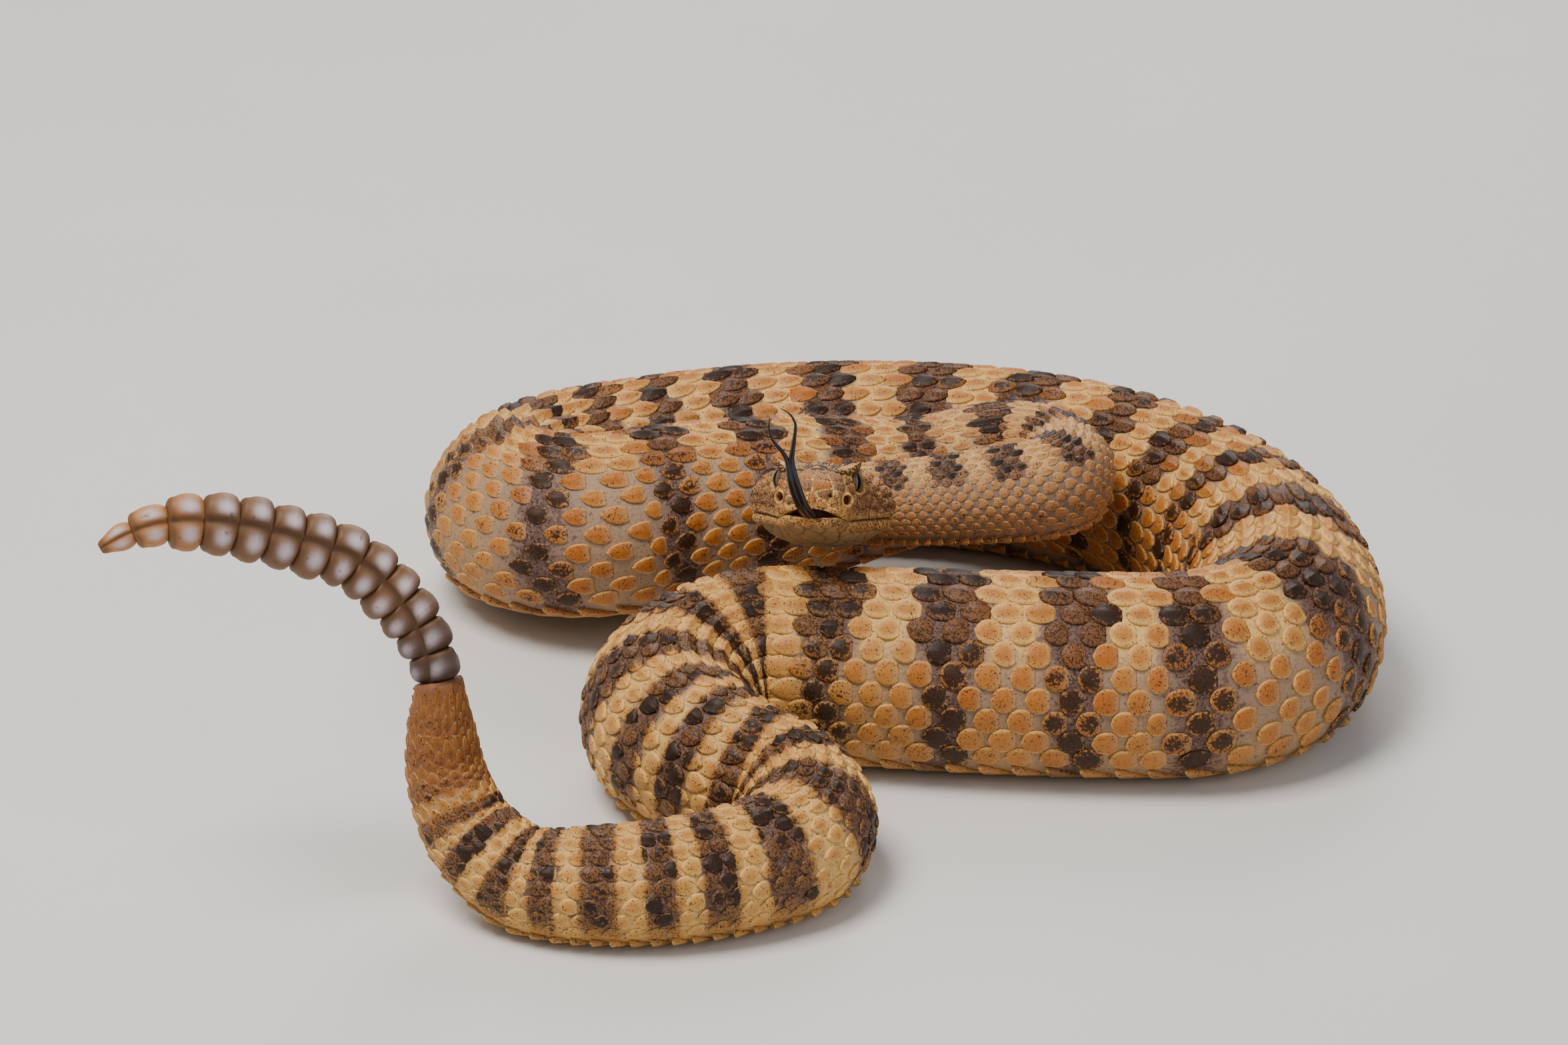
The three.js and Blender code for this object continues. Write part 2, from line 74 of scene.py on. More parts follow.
# Head outline at stations from the neck joint: at, half width, top, bottom, widest level, squareness
HEAD_LENGTH = 27.0
HEAD_STATIONS = np.array([
    (0, 6.3, 5.6, -6.6, -0.6, 2.0), (3.5, 8.8, 6.2, -6.5, 0.2, 2.1), (7.5, 11.2, 6.8, -6.3, 0.8, 2.2),
    (12, 10.1, 7.2, -5.9, 0.9, 2.3), (16, 7.9, 7.3, -5.2, 0.9, 2.7), (20, 6.4, 6.9, -4.3, 1.0, 2.8),
    (23.5, 5.5, 6.1, -3.4, 1.1, 2.8), (25.6, 4.5, 5.2, -2.6, 1.2, 2.6), (26.6, 3.4, 4.2, -1.8, 1.3, 2.4),
    (27, 2.0, 3.0, -0.6, 1.3, 2.2),
])
BROW = {"height": 1.2, "at": 17.6, "angle": 52, "reach": 2.6, "spread": 15}
BROW_PLATE = {"centre": (4.65, 17.6, 7.3), "half_length": 3.0, "half_width": 1.85, "thick": 1.0, "slope": 0.2,
              "dome": 0.35, "tip_turn": 1.25, "tip_reach": 0.3, "tip_rise": 1.0}
BROW_TIP = np.array([5.6, 18.6, 7.7])
EYE = {"radius": 2.2, "reach": 1.78, "centre": (4.95, 17.5, 5.0), "facing": (1.0, 0.34, 0.16), "depth": 2.6,
       "gaze": (0.80, 0.60, 0.04)}
PIT = {"reach": 0.72, "centre": (5.25, 23.1, 2.5), "facing": (0.55, 0.83, 0.08), "depth": 1.1, "rim": 0.42}
NOSTRIL = {"reach": 0.3, "centre": (3.1, 26.4, 3.3), "facing": (0.5, 0.85, 0.2), "depth": 0.5}
MOUTH_CORNER = 6.0
SNOUT_BULGE = 0.45
HEAD_MIDDLE = np.array([0, 13.0, 0.5])

# Plates of the head: places of the lip plates, gaps between plates, and places tried for the scattered ones
LIP_PLATES = [25.9, 24.4, 22.8, 21.2, 19.6, 18.0, 16.3, 14.5, 12.6, 10.6, 8.7]
LIP_PLATE_RISE = 0.85
SET_PLATE_GAP = 1.35
CHIN_PLATE_GAP = 1.9
PLATE_GAP = 1.45
PLATE_TRIES = 26000
POINTS_AT_ONCE = 3000

# Distance that stands for far from an eye, pit or nostril, and how far along its axis one reaches
FAR = 99.0
FEATURE_DEPTH = 1.9

# How deep the skin lies under the CAD surface, its gap over the floor, and the reach of its weld in metres
COAT = 0.35
FLOOR_GAP = 0.01
WELD = 0.004 * MM

# Columns and rings of the skin's mesh, and the steps that its outward directions are measured over
BODY_COLUMNS = 90
HEAD_COLUMNS = 360
UPPER_COLUMNS = 197
BODY_RING = 1.6
HEAD_RING = 0.17
CAP_RINGS = 14
SNOUT_CROWDING = 1.12
NORMAL_STEP = 0.12
NORMAL_TURN = 0.02

# Scale rows: number of rows from each place on, distance between scales of a row, and the lowest row's angle
SCALE_ROWS = [(0.0, 23), (95.0, 21), (318.0, 19), (466.0, 17), (508.0, 15)]
SCALE_PITCH = [(0, 1.7), (20, 1.95), (40, 2.7), (70, 3.6), (110, 4.75), (200, 4.95), (350, 5.2), (400, 5.2),
               (416, 4.4), (430, 3.8), (463, 3.4), (505, 3.0), (560, 2.6), (580, 2.2)]
LOWEST_ROW = math.radians(-25)

# Step along the body for laying out the rows, how much a bend crowds them, and the scales in one piece
FINE_STEP = 0.25
CROWDING = 0.35
SCALES_PER_PIECE = 900

# Lengths over which the neck's pattern fades out, and the patterns of the folds and of the tail's end fade in
NECK_FADE = (55, 100)
FOLD_FADE = (412, 436)
TAIL_FADE = (552, 570)

# UV map: the body's length runs over its width, and each scale and scute has a small patch
UV_START = 0.01
UV_LENGTH = 0.97
UV_PATCH = 0.003

# Middles of the light crossbands along the body; the dark ones lie halfway between
LIGHT_BANDS = [
    0, 9, 18, 27.5, 37.5, 48, 59, 71, 84, 98, 114, 130, 145, 160, 173, 184, 196, 211, 228, 246.5, 265, 282,
    297, 311, 331, 354, 370, 388.5, 408, 425, 437, 448.5, 460, 467.5, 475, 482.5, 490, 501.5, 512, 520, 527.5,
    535.7, 542, 549, 555, 560.5, 566, 571.5, 577, 582,
]


def smooth_through(xs, ys, start_slope=None):
    """Smooth curve through knots that never overshoots."""
    xs = np.asarray(xs, float)
    ys = np.asarray(ys, float)
    rise = np.diff(ys) / np.diff(xs)
    slopes = np.zeros(len(xs))
    slopes[0] = rise[0] if start_slope is None else start_slope
    slopes[-1] = rise[-1]
    for i in range(1, len(xs) - 1):
        before, after = rise[i - 1], rise[i]
        if before * after > 0:
            slopes[i] = 2 * before * after / (before + after)

    def curve(x):
        x = np.asarray(x, float)
        i = np.clip(np.searchsorted(xs, x, side="left") - 1, 0, len(xs) - 2)
        span = xs[i + 1] - xs[i]
        t = np.clip((x - xs[i]) / span, 0, 1)
        t2 = t * t
        t3 = t2 * t
        return ((2 * t3 - 3 * t2 + 1) * ys[i] + (t3 - 2 * t2 + t) * span * slopes[i]
                + (3 * t2 - 2 * t3) * ys[i + 1] + (t3 - t2) * span * slopes[i + 1])
    return curve


def bump(distance, reach):
    return np.exp(-(distance / reach) ** 2)


def ease(x, low, high):
    """0 below low, 1 above high, and smooth between."""
    t = np.clip((x - low) / (high - low), 0, 1)
    return t * t * (3 - 2 * t)


def unit(vector):
    vector = np.asarray(vector, float)
    return vector / np.linalg.norm(vector, axis=-1, keepdims=True)


def sums(steps):
    """Running sums of steps, from 0 on."""
    return np.concatenate([[0.0], np.cumsum(steps)])


def ring_angles(count):
    return 2 * math.pi * np.arange(count) / count


# Head frame: x to the snake's right, y forward, z up from the mouth line
cos_pitch, sin_pitch = math.cos(HEAD_PITCH), math.sin(HEAD_PITCH)
cos_yaw, sin_yaw = math.cos(HEAD_YAW), math.sin(HEAD_YAW)
HEAD_AXES = np.array([
    [cos_yaw, -sin_yaw * cos_pitch, sin_yaw * sin_pitch],
    [sin_yaw, cos_yaw * cos_pitch, -cos_yaw * sin_pitch],
    [0, sin_pitch, cos_pitch],
])


def head_to_world(points):
    return points @ HEAD_AXES.T + HEAD_ORIGIN


# Body line
ends = sums([row[0] for row in STRETCHES])
turns = HEAD_YAW - math.pi / 2 + sums([math.radians(row[1]) for row in STRETCHES])
line_start = head_to_world(np.array([0, 0, -NECK_DROP]))
rest_heights = [BELLY_FLAT * r - FLOOR_SINK if z is None else z for _, _, z, r in STRETCHES]
height_at = smooth_through(ends, [line_start[2]] + rest_heights, -math.sin(HEAD_PITCH))
radius_at = smooth_through(ends, [NECK_RADIUS] + [row[3] for row in STRETCHES], 0)


def climb_at(s):
    return (height_at(s + LINE_STEP / 4) - height_at(s - LINE_STEP / 4)) / (LINE_STEP / 2)


line_s = np.arange(0, ends[-1] + LINE_STEP, LINE_STEP)
step_middle = line_s[:-1] + LINE_STEP / 2
step_run = LINE_STEP * np.sqrt(np.maximum(0, 1 - climb_at(step_middle) ** 2))
step_heading = np.interp(step_middle, ends, turns)
line_x = line_start[0] + sums(step_run * np.cos(step_heading))
line_y = line_start[1] + sums(step_run * np.sin(step_heading))

# Bend of the line in radians a mm, as a mean over some steps each way
MEAN_STEPS = 12
sharp_bend = np.gradient(np.interp(line_s, ends, turns), line_s)
window = np.ones(2 * MEAN_STEPS + 1) / (2 * MEAN_STEPS + 1)
line_bend = np.convolve(np.pad(sharp_bend, MEAN_STEPS, mode="edge"), window, mode="valid")


def line_at(s):
    """Point, direction, left, up and radius of the body line at lengths s."""
    s = np.asarray(s, float)
    heading = np.interp(s, ends, turns)
    climb = np.where(s < LINE_STEP, -HEAD_PITCH, np.arcsin(np.clip(climb_at(s), -1, 1)))
    point = np.stack([np.interp(s, line_s, line_x), np.interp(s, line_s, line_y), height_at(s)], -1)
    along = np.stack([np.cos(climb) * np.cos(heading), np.cos(climb) * np.sin(heading), np.sin(climb)], -1)
    left = np.stack([-np.sin(heading), np.cos(heading), np.zeros_like(heading)], -1)
    return point, along, left, np.cross(along, left), radius_at(s)


def section(angle):
    """Side and height of the body's section at an angle from its left side, for a radius of 1."""
    across, rise = np.cos(angle), np.sin(angle)
    side = across * (1 - BACK_TAPER * np.maximum(0, rise))
    back = BACK_HEIGHT * rise + SPINE_RIDGE * bump(angle - math.pi / 2, SPINE_SPREAD)
    belly = -np.minimum(BELLY_FLAT, np.abs(rise) ** BELLY_SQUARE)
    return side, np.where(rise > 0, back, belly)


def body_surface(s, angle, lift):
    """World points in mm on the body, lifted from the CAD surface. Nothing goes below the floor."""
    point, _, left, up, radius = line_at(s)
    side, height = section(angle)
    across = (radius * side + lift * np.cos(angle))[..., None]
    rise = (radius * height + lift * np.sin(angle))[..., None]
    world = point + left * across + up * rise
    world[..., 2] = np.maximum(world[..., 2], FLOOR_GAP)
    return world


# Length round the section, for a radius of 1, from the middle of the belly over the left side
round_angles = np.linspace(-math.pi / 2, 1.5 * math.pi, 1441)
round_sides, round_heights = section(round_angles)
round_arcs = sums(np.hypot(np.diff(round_sides), np.diff(round_heights)))
SPINE_ARC = float(np.interp(math.pi / 2, round_angles, round_arcs))
HALF_ARC = SPINE_ARC - float(np.interp(LOWEST_ROW, round_angles, round_arcs))


def angle_of(offset):
    """Angle of a place by its distance round the section from the spine, for a radius of 1."""
    return np.interp(SPINE_ARC + offset, round_arcs, round_angles)


def offset_of(angle):
    return np.interp(angle, round_angles, round_arcs) - SPINE_ARC


# Markings, shared by the skin and the scales
band_number = smooth_through(LIGHT_BANDS, np.arange(len(LIGHT_BANDS)))


def ragged(s, side):
    """Slow waves that make band edges uneven, about -1 to 1."""
    waves = np.sin(0.83 * s + 5.1 * side) + np.sin(0.41 * s - 7.3 * side + 1.7)
    return (waves + np.sin(1.37 * s + 2.9 * side + 4.0)) / 2.2


def markings(s, offset):
    """Masks of the pattern at lengths s and at a distance round from the spine, for a radius of 1."""
    low = np.clip(np.abs(offset) / HALF_ARC, 0, 1.4)
    wave = 0.5 - 0.5 * np.cos(2 * math.pi * band_number(s))
    uneven = ragged(s, offset)
    fold = ease(s, *FOLD_FADE)
    neck = 1 - ease(s, *NECK_FADE)
    tail_end = ease(s, *TAIL_FADE)
    # Loose orange scales reach higher up the flank where the body is most stretched
    stretched = ease(s, 88, 104) * (1 - ease(s, 148, 170))
    back_width = 0.36 - 0.27 * stretched
    flank = ease(low, back_width, back_width + 0.22) * (1 - fold)
    over_back = ease(wave + 0.15 * uneven, 0.4, 0.66)
    on_flank = ease(wave + 0.1 * uneven, 0.48, 1.04) ** 1.5 * (1 - neck)
    on_fold = ease(wave + 0.08 * uneven, 0.34, 0.54) * (1 - 0.85 * ease(low, 0.8, 1.1))
    dark = (over_back * (1 - flank) + on_flank * flank) * (1 - fold) + on_fold * fold
    dark = dark * (1 - neck * ease(low, 0.3, 0.5))
    light = ease(0.5 - wave, 0.0, 0.3) * (1 - 0.85 * flank)
    golden = np.maximum(bump(s - 158, 13), ease(s, 392, 425))
    golden = np.maximum(golden, 0.35 * ease(s, 300, 350) * ease(low, 0.7, 1.0))
    return {
        "dark": dark * (1 - 0.72 * tail_end),
        "light": light * (1 - 0.8 * tail_end) * (1 - neck * ease(low, 0.2, 0.5)),
        "flank": flank,
        "rust": tail_end,
        "gold": golden * (0.45 + 0.55 * ease(low, 0.4, 0.85)) * (1 - tail_end),
        "neck": neck,
    }


def make_object(name, points, faces, masks=None, uv=None):
    """Mesh object from points in mm, arrays of faces, masks that broadcast to the points, and UV places."""
    mesh = bpy.data.meshes.new(name)
    shape = points.shape[:-1]
    points = points.astype(np.float32).reshape(-1, 3) * MM
    mesh.vertices.add(len(points))
    mesh.vertices.foreach_set("co", points.ravel())
    corners = np.concatenate([face.ravel() for face in faces]).astype(np.int32)
    sizes = np.concatenate([np.full(len(face), face.shape[1]) for face in faces]).astype(np.int32)
    mesh.loops.add(len(corners))
    mesh.polygons.add(len(sizes))
    mesh.loops.foreach_set("vertex_index", corners)
    mesh.polygons.foreach_set("loop_start", np.concatenate([[0], np.cumsum(sizes)[:-1]]).astype(np.int32))
    mesh.polygons.foreach_set("loop_total", sizes)
    for key, values in (masks or {}).items():
        values = np.broadcast_to(values, shape).astype(np.float32)
        mesh.attributes.new(key, "FLOAT", "POINT").data.foreach_set("value", values.ravel())
    if uv is not None:
        layer = mesh.uv_layers.new(name="OFBake")
        layer.data.foreach_set("uv", uv.astype(np.float32).reshape(-1, 2)[corners].ravel())
    mesh.update(calc_edges=True)
    mesh.validate()
    piece = bpy.data.objects.new(name, mesh)
    bpy.context.scene.collection.objects.link(piece)
    return piece


def grid_faces(rows, columns, closed=True, first=0):
    """Quads of a grid of points, its columns joined round where closed."""
    r, c = np.meshgrid(np.arange(rows - 1), np.arange(columns if closed else columns - 1), indexing="ij")
    n = (c + 1) % columns
    quad = np.stack([r * columns + c, r * columns + n, (r + 1) * columns + n, (r + 1) * columns + c], -1)
    return quad.reshape(-1, 4) + first


def tube_faces(rows, columns, first=0):
    """Faces of a tube of rings with a flat face at each end."""
    start = first + np.arange(columns)
    end = start + (rows - 1) * columns
    return [grid_faces(rows, columns, first=first), start[None, :], end[None, :]]


def add_piece(name, points, faces, material, masks=None, uv=None, replaced=(), weld=0.0):
    """Piece of the model that faces outwards and rides on the root, in place of the CAD nodes it replaces."""
    piece = make_object(name, points, faces, masks, uv)
    edit = bmesh.new()
    edit.from_mesh(piece.data)
    if weld:
        bmesh.ops.remove_doubles(edit, verts=edit.verts, dist=weld)
    bmesh.ops.recalc_face_normals(edit, faces=edit.faces)
    edit.to_mesh(piece.data)
    edit.free()
    piece.data.shade_smooth()
    piece.data.materials.append(material)
    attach(piece, "root")
    if replaced:
        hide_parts(*replaced)


# Curves of the head's outline along its length
head_curve = {key: smooth_through(HEAD_STATIONS[:, 0], HEAD_STATIONS[:, i + 1])
              for i, key in enumerate(["half_width", "top", "bottom", "widest", "square"])}


def mouth_level(at):
    droop = ease(HEAD_LENGTH - at, 0, 5)
    return -droop - 0.5 * (1 - ease(at, MOUTH_CORNER, MOUTH_CORNER + 4))


def head_point(at, angle):
    """Points on the plain head, in its own frame."""
    width, widest = head_curve["half_width"](at), head_curve["widest"](at)
    power = 2 / head_curve["square"](at)
    cosine, sine = np.cos(angle), np.sin(angle)
    across = np.sign(cosine) * np.abs(cosine) ** power
    rise = np.abs(sine) ** power
    x = width * across
    top = widest + rise * (head_curve["top"](at) - widest)
    bottom = widest - rise * (widest - head_curve["bottom"](at))
    z = np.where(sine > 0, top, bottom)
    degrees = np.degrees(np.arcsin(np.clip(np.abs(sine), 0, 1))) * np.sign(sine)
    brow = BROW["height"] * bump(at - BROW["at"], BROW["reach"])
    brow = brow * bump(degrees - BROW["angle"], BROW["spread"])
    outward = np.sign(across)
    x = x + 0.6 * brow * outward
    z = z + 0.8 * brow
    lips = 0.25 * bump(z - 0.9, 0.6) + 0.22 * bump(z + 1.9, 0.6)
    x = x + lips * ease(at, MOUTH_CORNER, MOUTH_CORNER + 4) * outward
    return np.stack([x, at + 0 * x, z], -1)


def mouth_angle(at):
    widest = head_curve["widest"](at)
    share = (widest - mouth_level(at)) / (widest - head_curve["bottom"](at))
    return -np.arcsin(np.clip(share ** (head_curve["square"](at) / 2), 0, 1))


def head_columns(at):
    """Angles round the head at one station: even at the neck, crowded to the lips further forward."""
    corner = float(mouth_angle(at))
    even = corner + ring_angles(HEAD_COLUMNS)

    def crowded(count, start, end):
        t = np.linspace(0, 1, count)
        return start + (end - start) * (t - 0.6 * np.sin(2 * math.pi * t) / (2 * math.pi))
    top = crowded(UPPER_COLUMNS - 5, corner, math.pi - corner)
    under = crowded(HEAD_COLUMNS - UPPER_COLUMNS - 5, math.pi - corner, 2 * math.pi + corner)
    lips = np.concatenate([
        np.full(3, corner), top[1:-1],
        np.full(5, math.pi - corner), under[1:-1],
        np.full(HEAD_COLUMNS, 2 * math.pi + corner),
    ])[:HEAD_COLUMNS]
    return even + (lips - even) * ease(at, 1.0, 5.5)


# Columns of the mouth line: throat, inner lips and lip edges on each side, and which lip each column is on
LEFT_LIP = UPPER_COLUMNS - 4
column_depth = np.zeros(HEAD_COLUMNS)
column_depth[[0, LEFT_LIP + 2]] = 1.0
column_depth[[1, LEFT_LIP + 1, LEFT_LIP + 3, -1]] = 0.75
at_lips = column_depth > 0
at_lips[[2, LEFT_LIP, LEFT_LIP + 4, -2]] = True
column_side = np.zeros(HEAD_COLUMNS)
column_side[1:LEFT_LIP + 2] = 1
column_side[LEFT_LIP + 3:] = -1


def head_grid():
    """Plain head as a grid from the neck to the middle of the snout, with its outward directions."""
    count = int(round(HEAD_LENGTH / HEAD_RING))
    ats = HEAD_LENGTH * (1 - (1 - np.linspace(0, 1, count)) ** SNOUT_CROWDING)
    angles = np.stack([head_columns(at) for at in ats])
    at_grid = np.repeat(ats[:, None], HEAD_COLUMNS, 1)
    points = head_point(at_grid, angles)
    before = head_point(np.clip(at_grid - NORMAL_STEP, 0, HEAD_LENGTH), angles)
    after = head_point(np.clip(at_grid + NORMAL_STEP, 0, HEAD_LENGTH), angles)
    one = head_point(at_grid, angles - NORMAL_TURN)
    other = head_point(at_grid, angles + NORMAL_TURN)
    normals = unit(np.cross(other - one, after - before) + 1e-9)
    inside = np.sum(normals * (points - HEAD_MIDDLE), -1) < 0
    normals = np.where(inside[..., None], -normals, normals)
    share = np.linspace(0, 1, CAP_RINGS + 1)[1:, None, None]
    cap = points[-1] * (1 - share)
    cap[..., 1] = HEAD_LENGTH + SNOUT_BULGE * (1 - (1 - share[..., 0]) ** 2)
    cap_normals = unit(normals[-1] * (1 - share) + np.array([0, 1.0, 0]) * (0.3 + share))
    return np.concatenate([points, cap]), np.concatenate([normals, cap_normals])


def set_plates(points):
    """Lists of places on brows, lips, chin and snout; the places of one list share one plate."""
    plates = []
    for side in (-1, 1):
        plates.append([(side * 4.7, at, 7.6) for at in np.linspace(14.6, 19.6, 6)])
        plates.append([(side * 3.5, at, 6.4) for at in (21.6, 22.6)])
        plates.append([(side * 1.5, 25.8, 5.1)])
        for at in LIP_PLATES:
            for rise in (LIP_PLATE_RISE, -LIP_PLATE_RISE):
                level = float(mouth_level(at)) + rise
                miss = (points[..., 1] - at) ** 2 + (points[..., 2] - level) ** 2
                miss = miss + np.where(points[..., 0] * side > 0, 0, 100)
                plates.append([points[np.unravel_index(np.argmin(miss), miss.shape)]])
        plates.append([(side * 1.0, at, -3.9) for at in (22.5, 20.5)])
    plates.append([(0.0, 27.4, z) for z in (0.9, 2.0)])
    plates.append([(0.0, 27.0, -0.9)])
    return plates


def plate_seeds(points):
    """Places on the head's plates and each one's plate: set ones, and others scattered with even gaps."""
    plates = set_plates(points)
    seeds = [np.array(place) for places in plates for place in places]
    groups = [number for number, places in enumerate(plates) for _ in places]
    fixed = len(seeds)
    flat = points.reshape(-1, 3)
    for place in flat[rng.permutation(len(flat))[:PLATE_TRIES]]:
        clear = np.full(len(seeds), plate_gap(place))
        clear[:fixed] = np.maximum(clear[:fixed], SET_PLATE_GAP)
        if np.all(np.sum((np.array(seeds) - place) ** 2, 1) > clear ** 2):
            seeds.append(place)
            groups.append(groups[-1] + 1)
    return np.array(seeds), np.array(groups)


def plate_gap(place):
    """Distance between the middles of neighbouring scales at a place on the head."""
    _, at, z = place
    if z < float(mouth_level(at)) - 1.2:
        return CHIN_PLATE_GAP
    snout = float(ease(at, 19.5, 22.5)) * float(ease(z, 2.5, 4.5))
    crown = float(ease(z, 5.0, 6.2))
    return PLATE_GAP + 0.95 * snout - 0.1 * crown + 0.1 * float(ease(10 - at, 0, 6))


def nearest_plates(points, seeds, groups):
    """For each point, the distance to its plate's border and the plate's number."""
    flat = points.reshape(-1, 3)
    border = np.empty(len(flat))
    plate = np.empty(len(flat), int)
    for start in range(0, len(flat), POINTS_AT_ONCE):
        part = slice(start, start + POINTS_AT_ONCE)
        gaps = np.linalg.norm(flat[part][:, None] - seeds, axis=-1)
        plate[part] = groups[np.argmin(gaps, 1)]
        nearest = gaps.min(1)
        gaps[groups[None, :] == plate[part][:, None]] = np.inf
        border[part] = (gaps.min(1) - nearest) / 2
    return border.reshape(points.shape[:2]), plate.reshape(points.shape[:2])


def mirrored(place, sign):
    """A place on the head's right side, or its mirror image on the left for a sign of -1."""
    return np.array(place) * np.array([sign, 1, 1])


def from_axis(points, part, sign):
    """Facing of a feature on one side, and each point's distance from its axis and height along it."""
    facing = unit(mirrored(part["facing"], sign))
    offset = points - mirrored(part["centre"], sign)
    height = offset @ facing
    radial = np.sqrt(np.maximum(0, np.sum(offset ** 2, -1) - height ** 2))
    return facing, np.where(np.abs(height) < FEATURE_DEPTH, radial, FAR), height


def turn_cup(points, part, sign):
    """Turns the surface round a pit to face its way, with a raised rim; returns distances from its axis."""
    facing, radial, height = from_axis(points, part, sign)
    share = 1 - ease(radial, part["reach"] + 0.25, part["reach"] + 1.15)
    rim = part["rim"] * bump(radial - part["reach"] - 0.22, 0.26)
    points += facing * (share * (rim - 0.85 * height))[..., None]
    return radial


def sink_disc(points, part, sign):
    """Moves the points round a feature inwards and returns how far each lies from its axis."""
    facing, radial, _ = from_axis(points, part, sign)
    share = 1 - ease(radial, part["reach"] - 0.2, part["reach"] + 0.15)
    points -= facing * (share * part["depth"])[..., None]
    return radial


def build_head():
    """Head of the skin in world mm, and its masks."""
    points, normals = head_grid()
    plain = points.copy()
    seeds, groups = plate_seeds(points)
    border, plate = nearest_plates(points, seeds, groups)
    at, side, level = plain[..., 1], np.abs(plain[..., 0]), plain[..., 2]
    below = level - mouth_level(at)
    chin = ease(-below, 1.1, 2.2)
    temple = (1 - ease(at, 12.5, 16.5)) * (1 - chin)
    tone = rng.random(groups.max() + 1)[plate]
    neck = 1 - ease(at, 0.5, 4.5)

    # Plates rise from grooves; those of the temples are beads, those of the chin nearly flat
    dome = ease(border, 0.02, 0.2) * 0.26 + ease(border, 0.05, 0.75) * (0.16 + 0.36 * temple)
    lift = dome * (1 - 0.35 * chin) - 0.28 - COAT * neck
    # Ridge over each eye that ends in an upturned tip, and the hollow between eye and nostril
    horn = np.linalg.norm(np.stack([side, at, level], -1) - BROW_TIP, axis=-1)
    ridge = np.exp(-((side - 5.4) / 0.75) ** 2 - ((at - 17.4) / 2.6) ** 2) * ease(level, 6.2, 7.2)
    hollow = np.exp(-((at - 20.8) / 1.9) ** 2 - ((level - 3.6) / 1.1) ** 2) * ease(side, 3.5, 5)
    lift = lift + 0.25 * ridge - 0.4 * hollow
    points = points + normals * lift[..., None]
    tip = 0.3 * bump(horn, 1.05)
    points += np.stack([np.sign(plain[..., 0]) * 0.35 * tip, 0.45 * tip, 0.75 * tip], -1)

    # Eyes, pits and nostrils
    eye_gap = pit_gap = nose_gap = np.full(at.shape, FAR)
    for sign in (-1, 1):
        eye_gap = np.minimum(eye_gap, sink_disc(points, EYE, sign))
        pit_gap = np.minimum(pit_gap, turn_cup(points, PIT, sign))
        sink_disc(points, PIT, sign)
        nose_gap = np.minimum(nose_gap, sink_disc(points, NOSTRIL, sign))
    rim = 0.28 * bump(eye_gap - EYE["reach"] - 0.42, 0.34)
    points += normals * rim[..., None]

    # Mouth: the lips part by a thin line that opens in front, over a dark pink throat
    jaw = ease(at, MOUTH_CORNER, MOUTH_CORNER + 1.5)
    open_front = np.exp(-(side / 3.8) ** 2) * ease(at, 20.5, 25.0)
    half_gap = 0.055 * jaw + open_front
    shift = np.where(column_side > 0, 1.15 * half_gap, -0.35 * half_gap)
    shift = np.where(column_side == 0, 0.2 * half_gap, shift)
    points[..., 2] += shift * np.where(at_lips, 1.0, np.exp(-np.abs(below) / 1.1))
    inward = unit(np.stack([normals[..., 0], normals[..., 1] + 1e-6, 0 * normals[..., 2]], -1))
    depth = column_depth * (0.3 + 2.1 * ease(at, 21.5, 25.5)) * jaw
    points -= inward * depth[..., None]
    pout = 0.1 * bump(np.abs(below) - 0.35, 0.3) * jaw
    points += inward * pout[..., None]

    snout = ease(at, 20.0, 22.5) * (1 - chin)
    eye_rim = 0.5 * bump(eye_gap - EYE["reach"] - 0.3, 0.3)
    # The nostrils and the sunk skin round the eyeballs are painted near black as shade
    masks = {
        "head": np.ones(at.shape),
        "seam": 1 - ease(border, 0.05, 0.18),
        "tone": tone,
        "chin": chin,
        "horn": np.clip(bump(horn, 1.35) * 1.3, 0, 1),
        "pit": 1 - ease(pit_gap, PIT["reach"] - 0.1, PIT["reach"] + 0.06),
        "rim": np.clip(bump(pit_gap - PIT["reach"] - 0.3, 0.24) + eye_rim, 0, 1),
        "hole_shade": np.clip((1 - ease(nose_gap, 0.2, 0.42)) + (1 - ease(eye_gap, 1.3, 1.6)), 0, 1),
        "mouth": (column_depth > 0) * ease(at, 18, 23),
        "snout": snout,
        "crown": ease(level, 5.6, 6.6) * (1 - snout),
        "lip": bump(below, 1.5) * jaw,
        "cheek": bump(below - 2.2, 1.4) * ease(side, 3.5, 6.0) * (1 - chin) * (1 - snout),
    }
    return head_to_world(points), masks


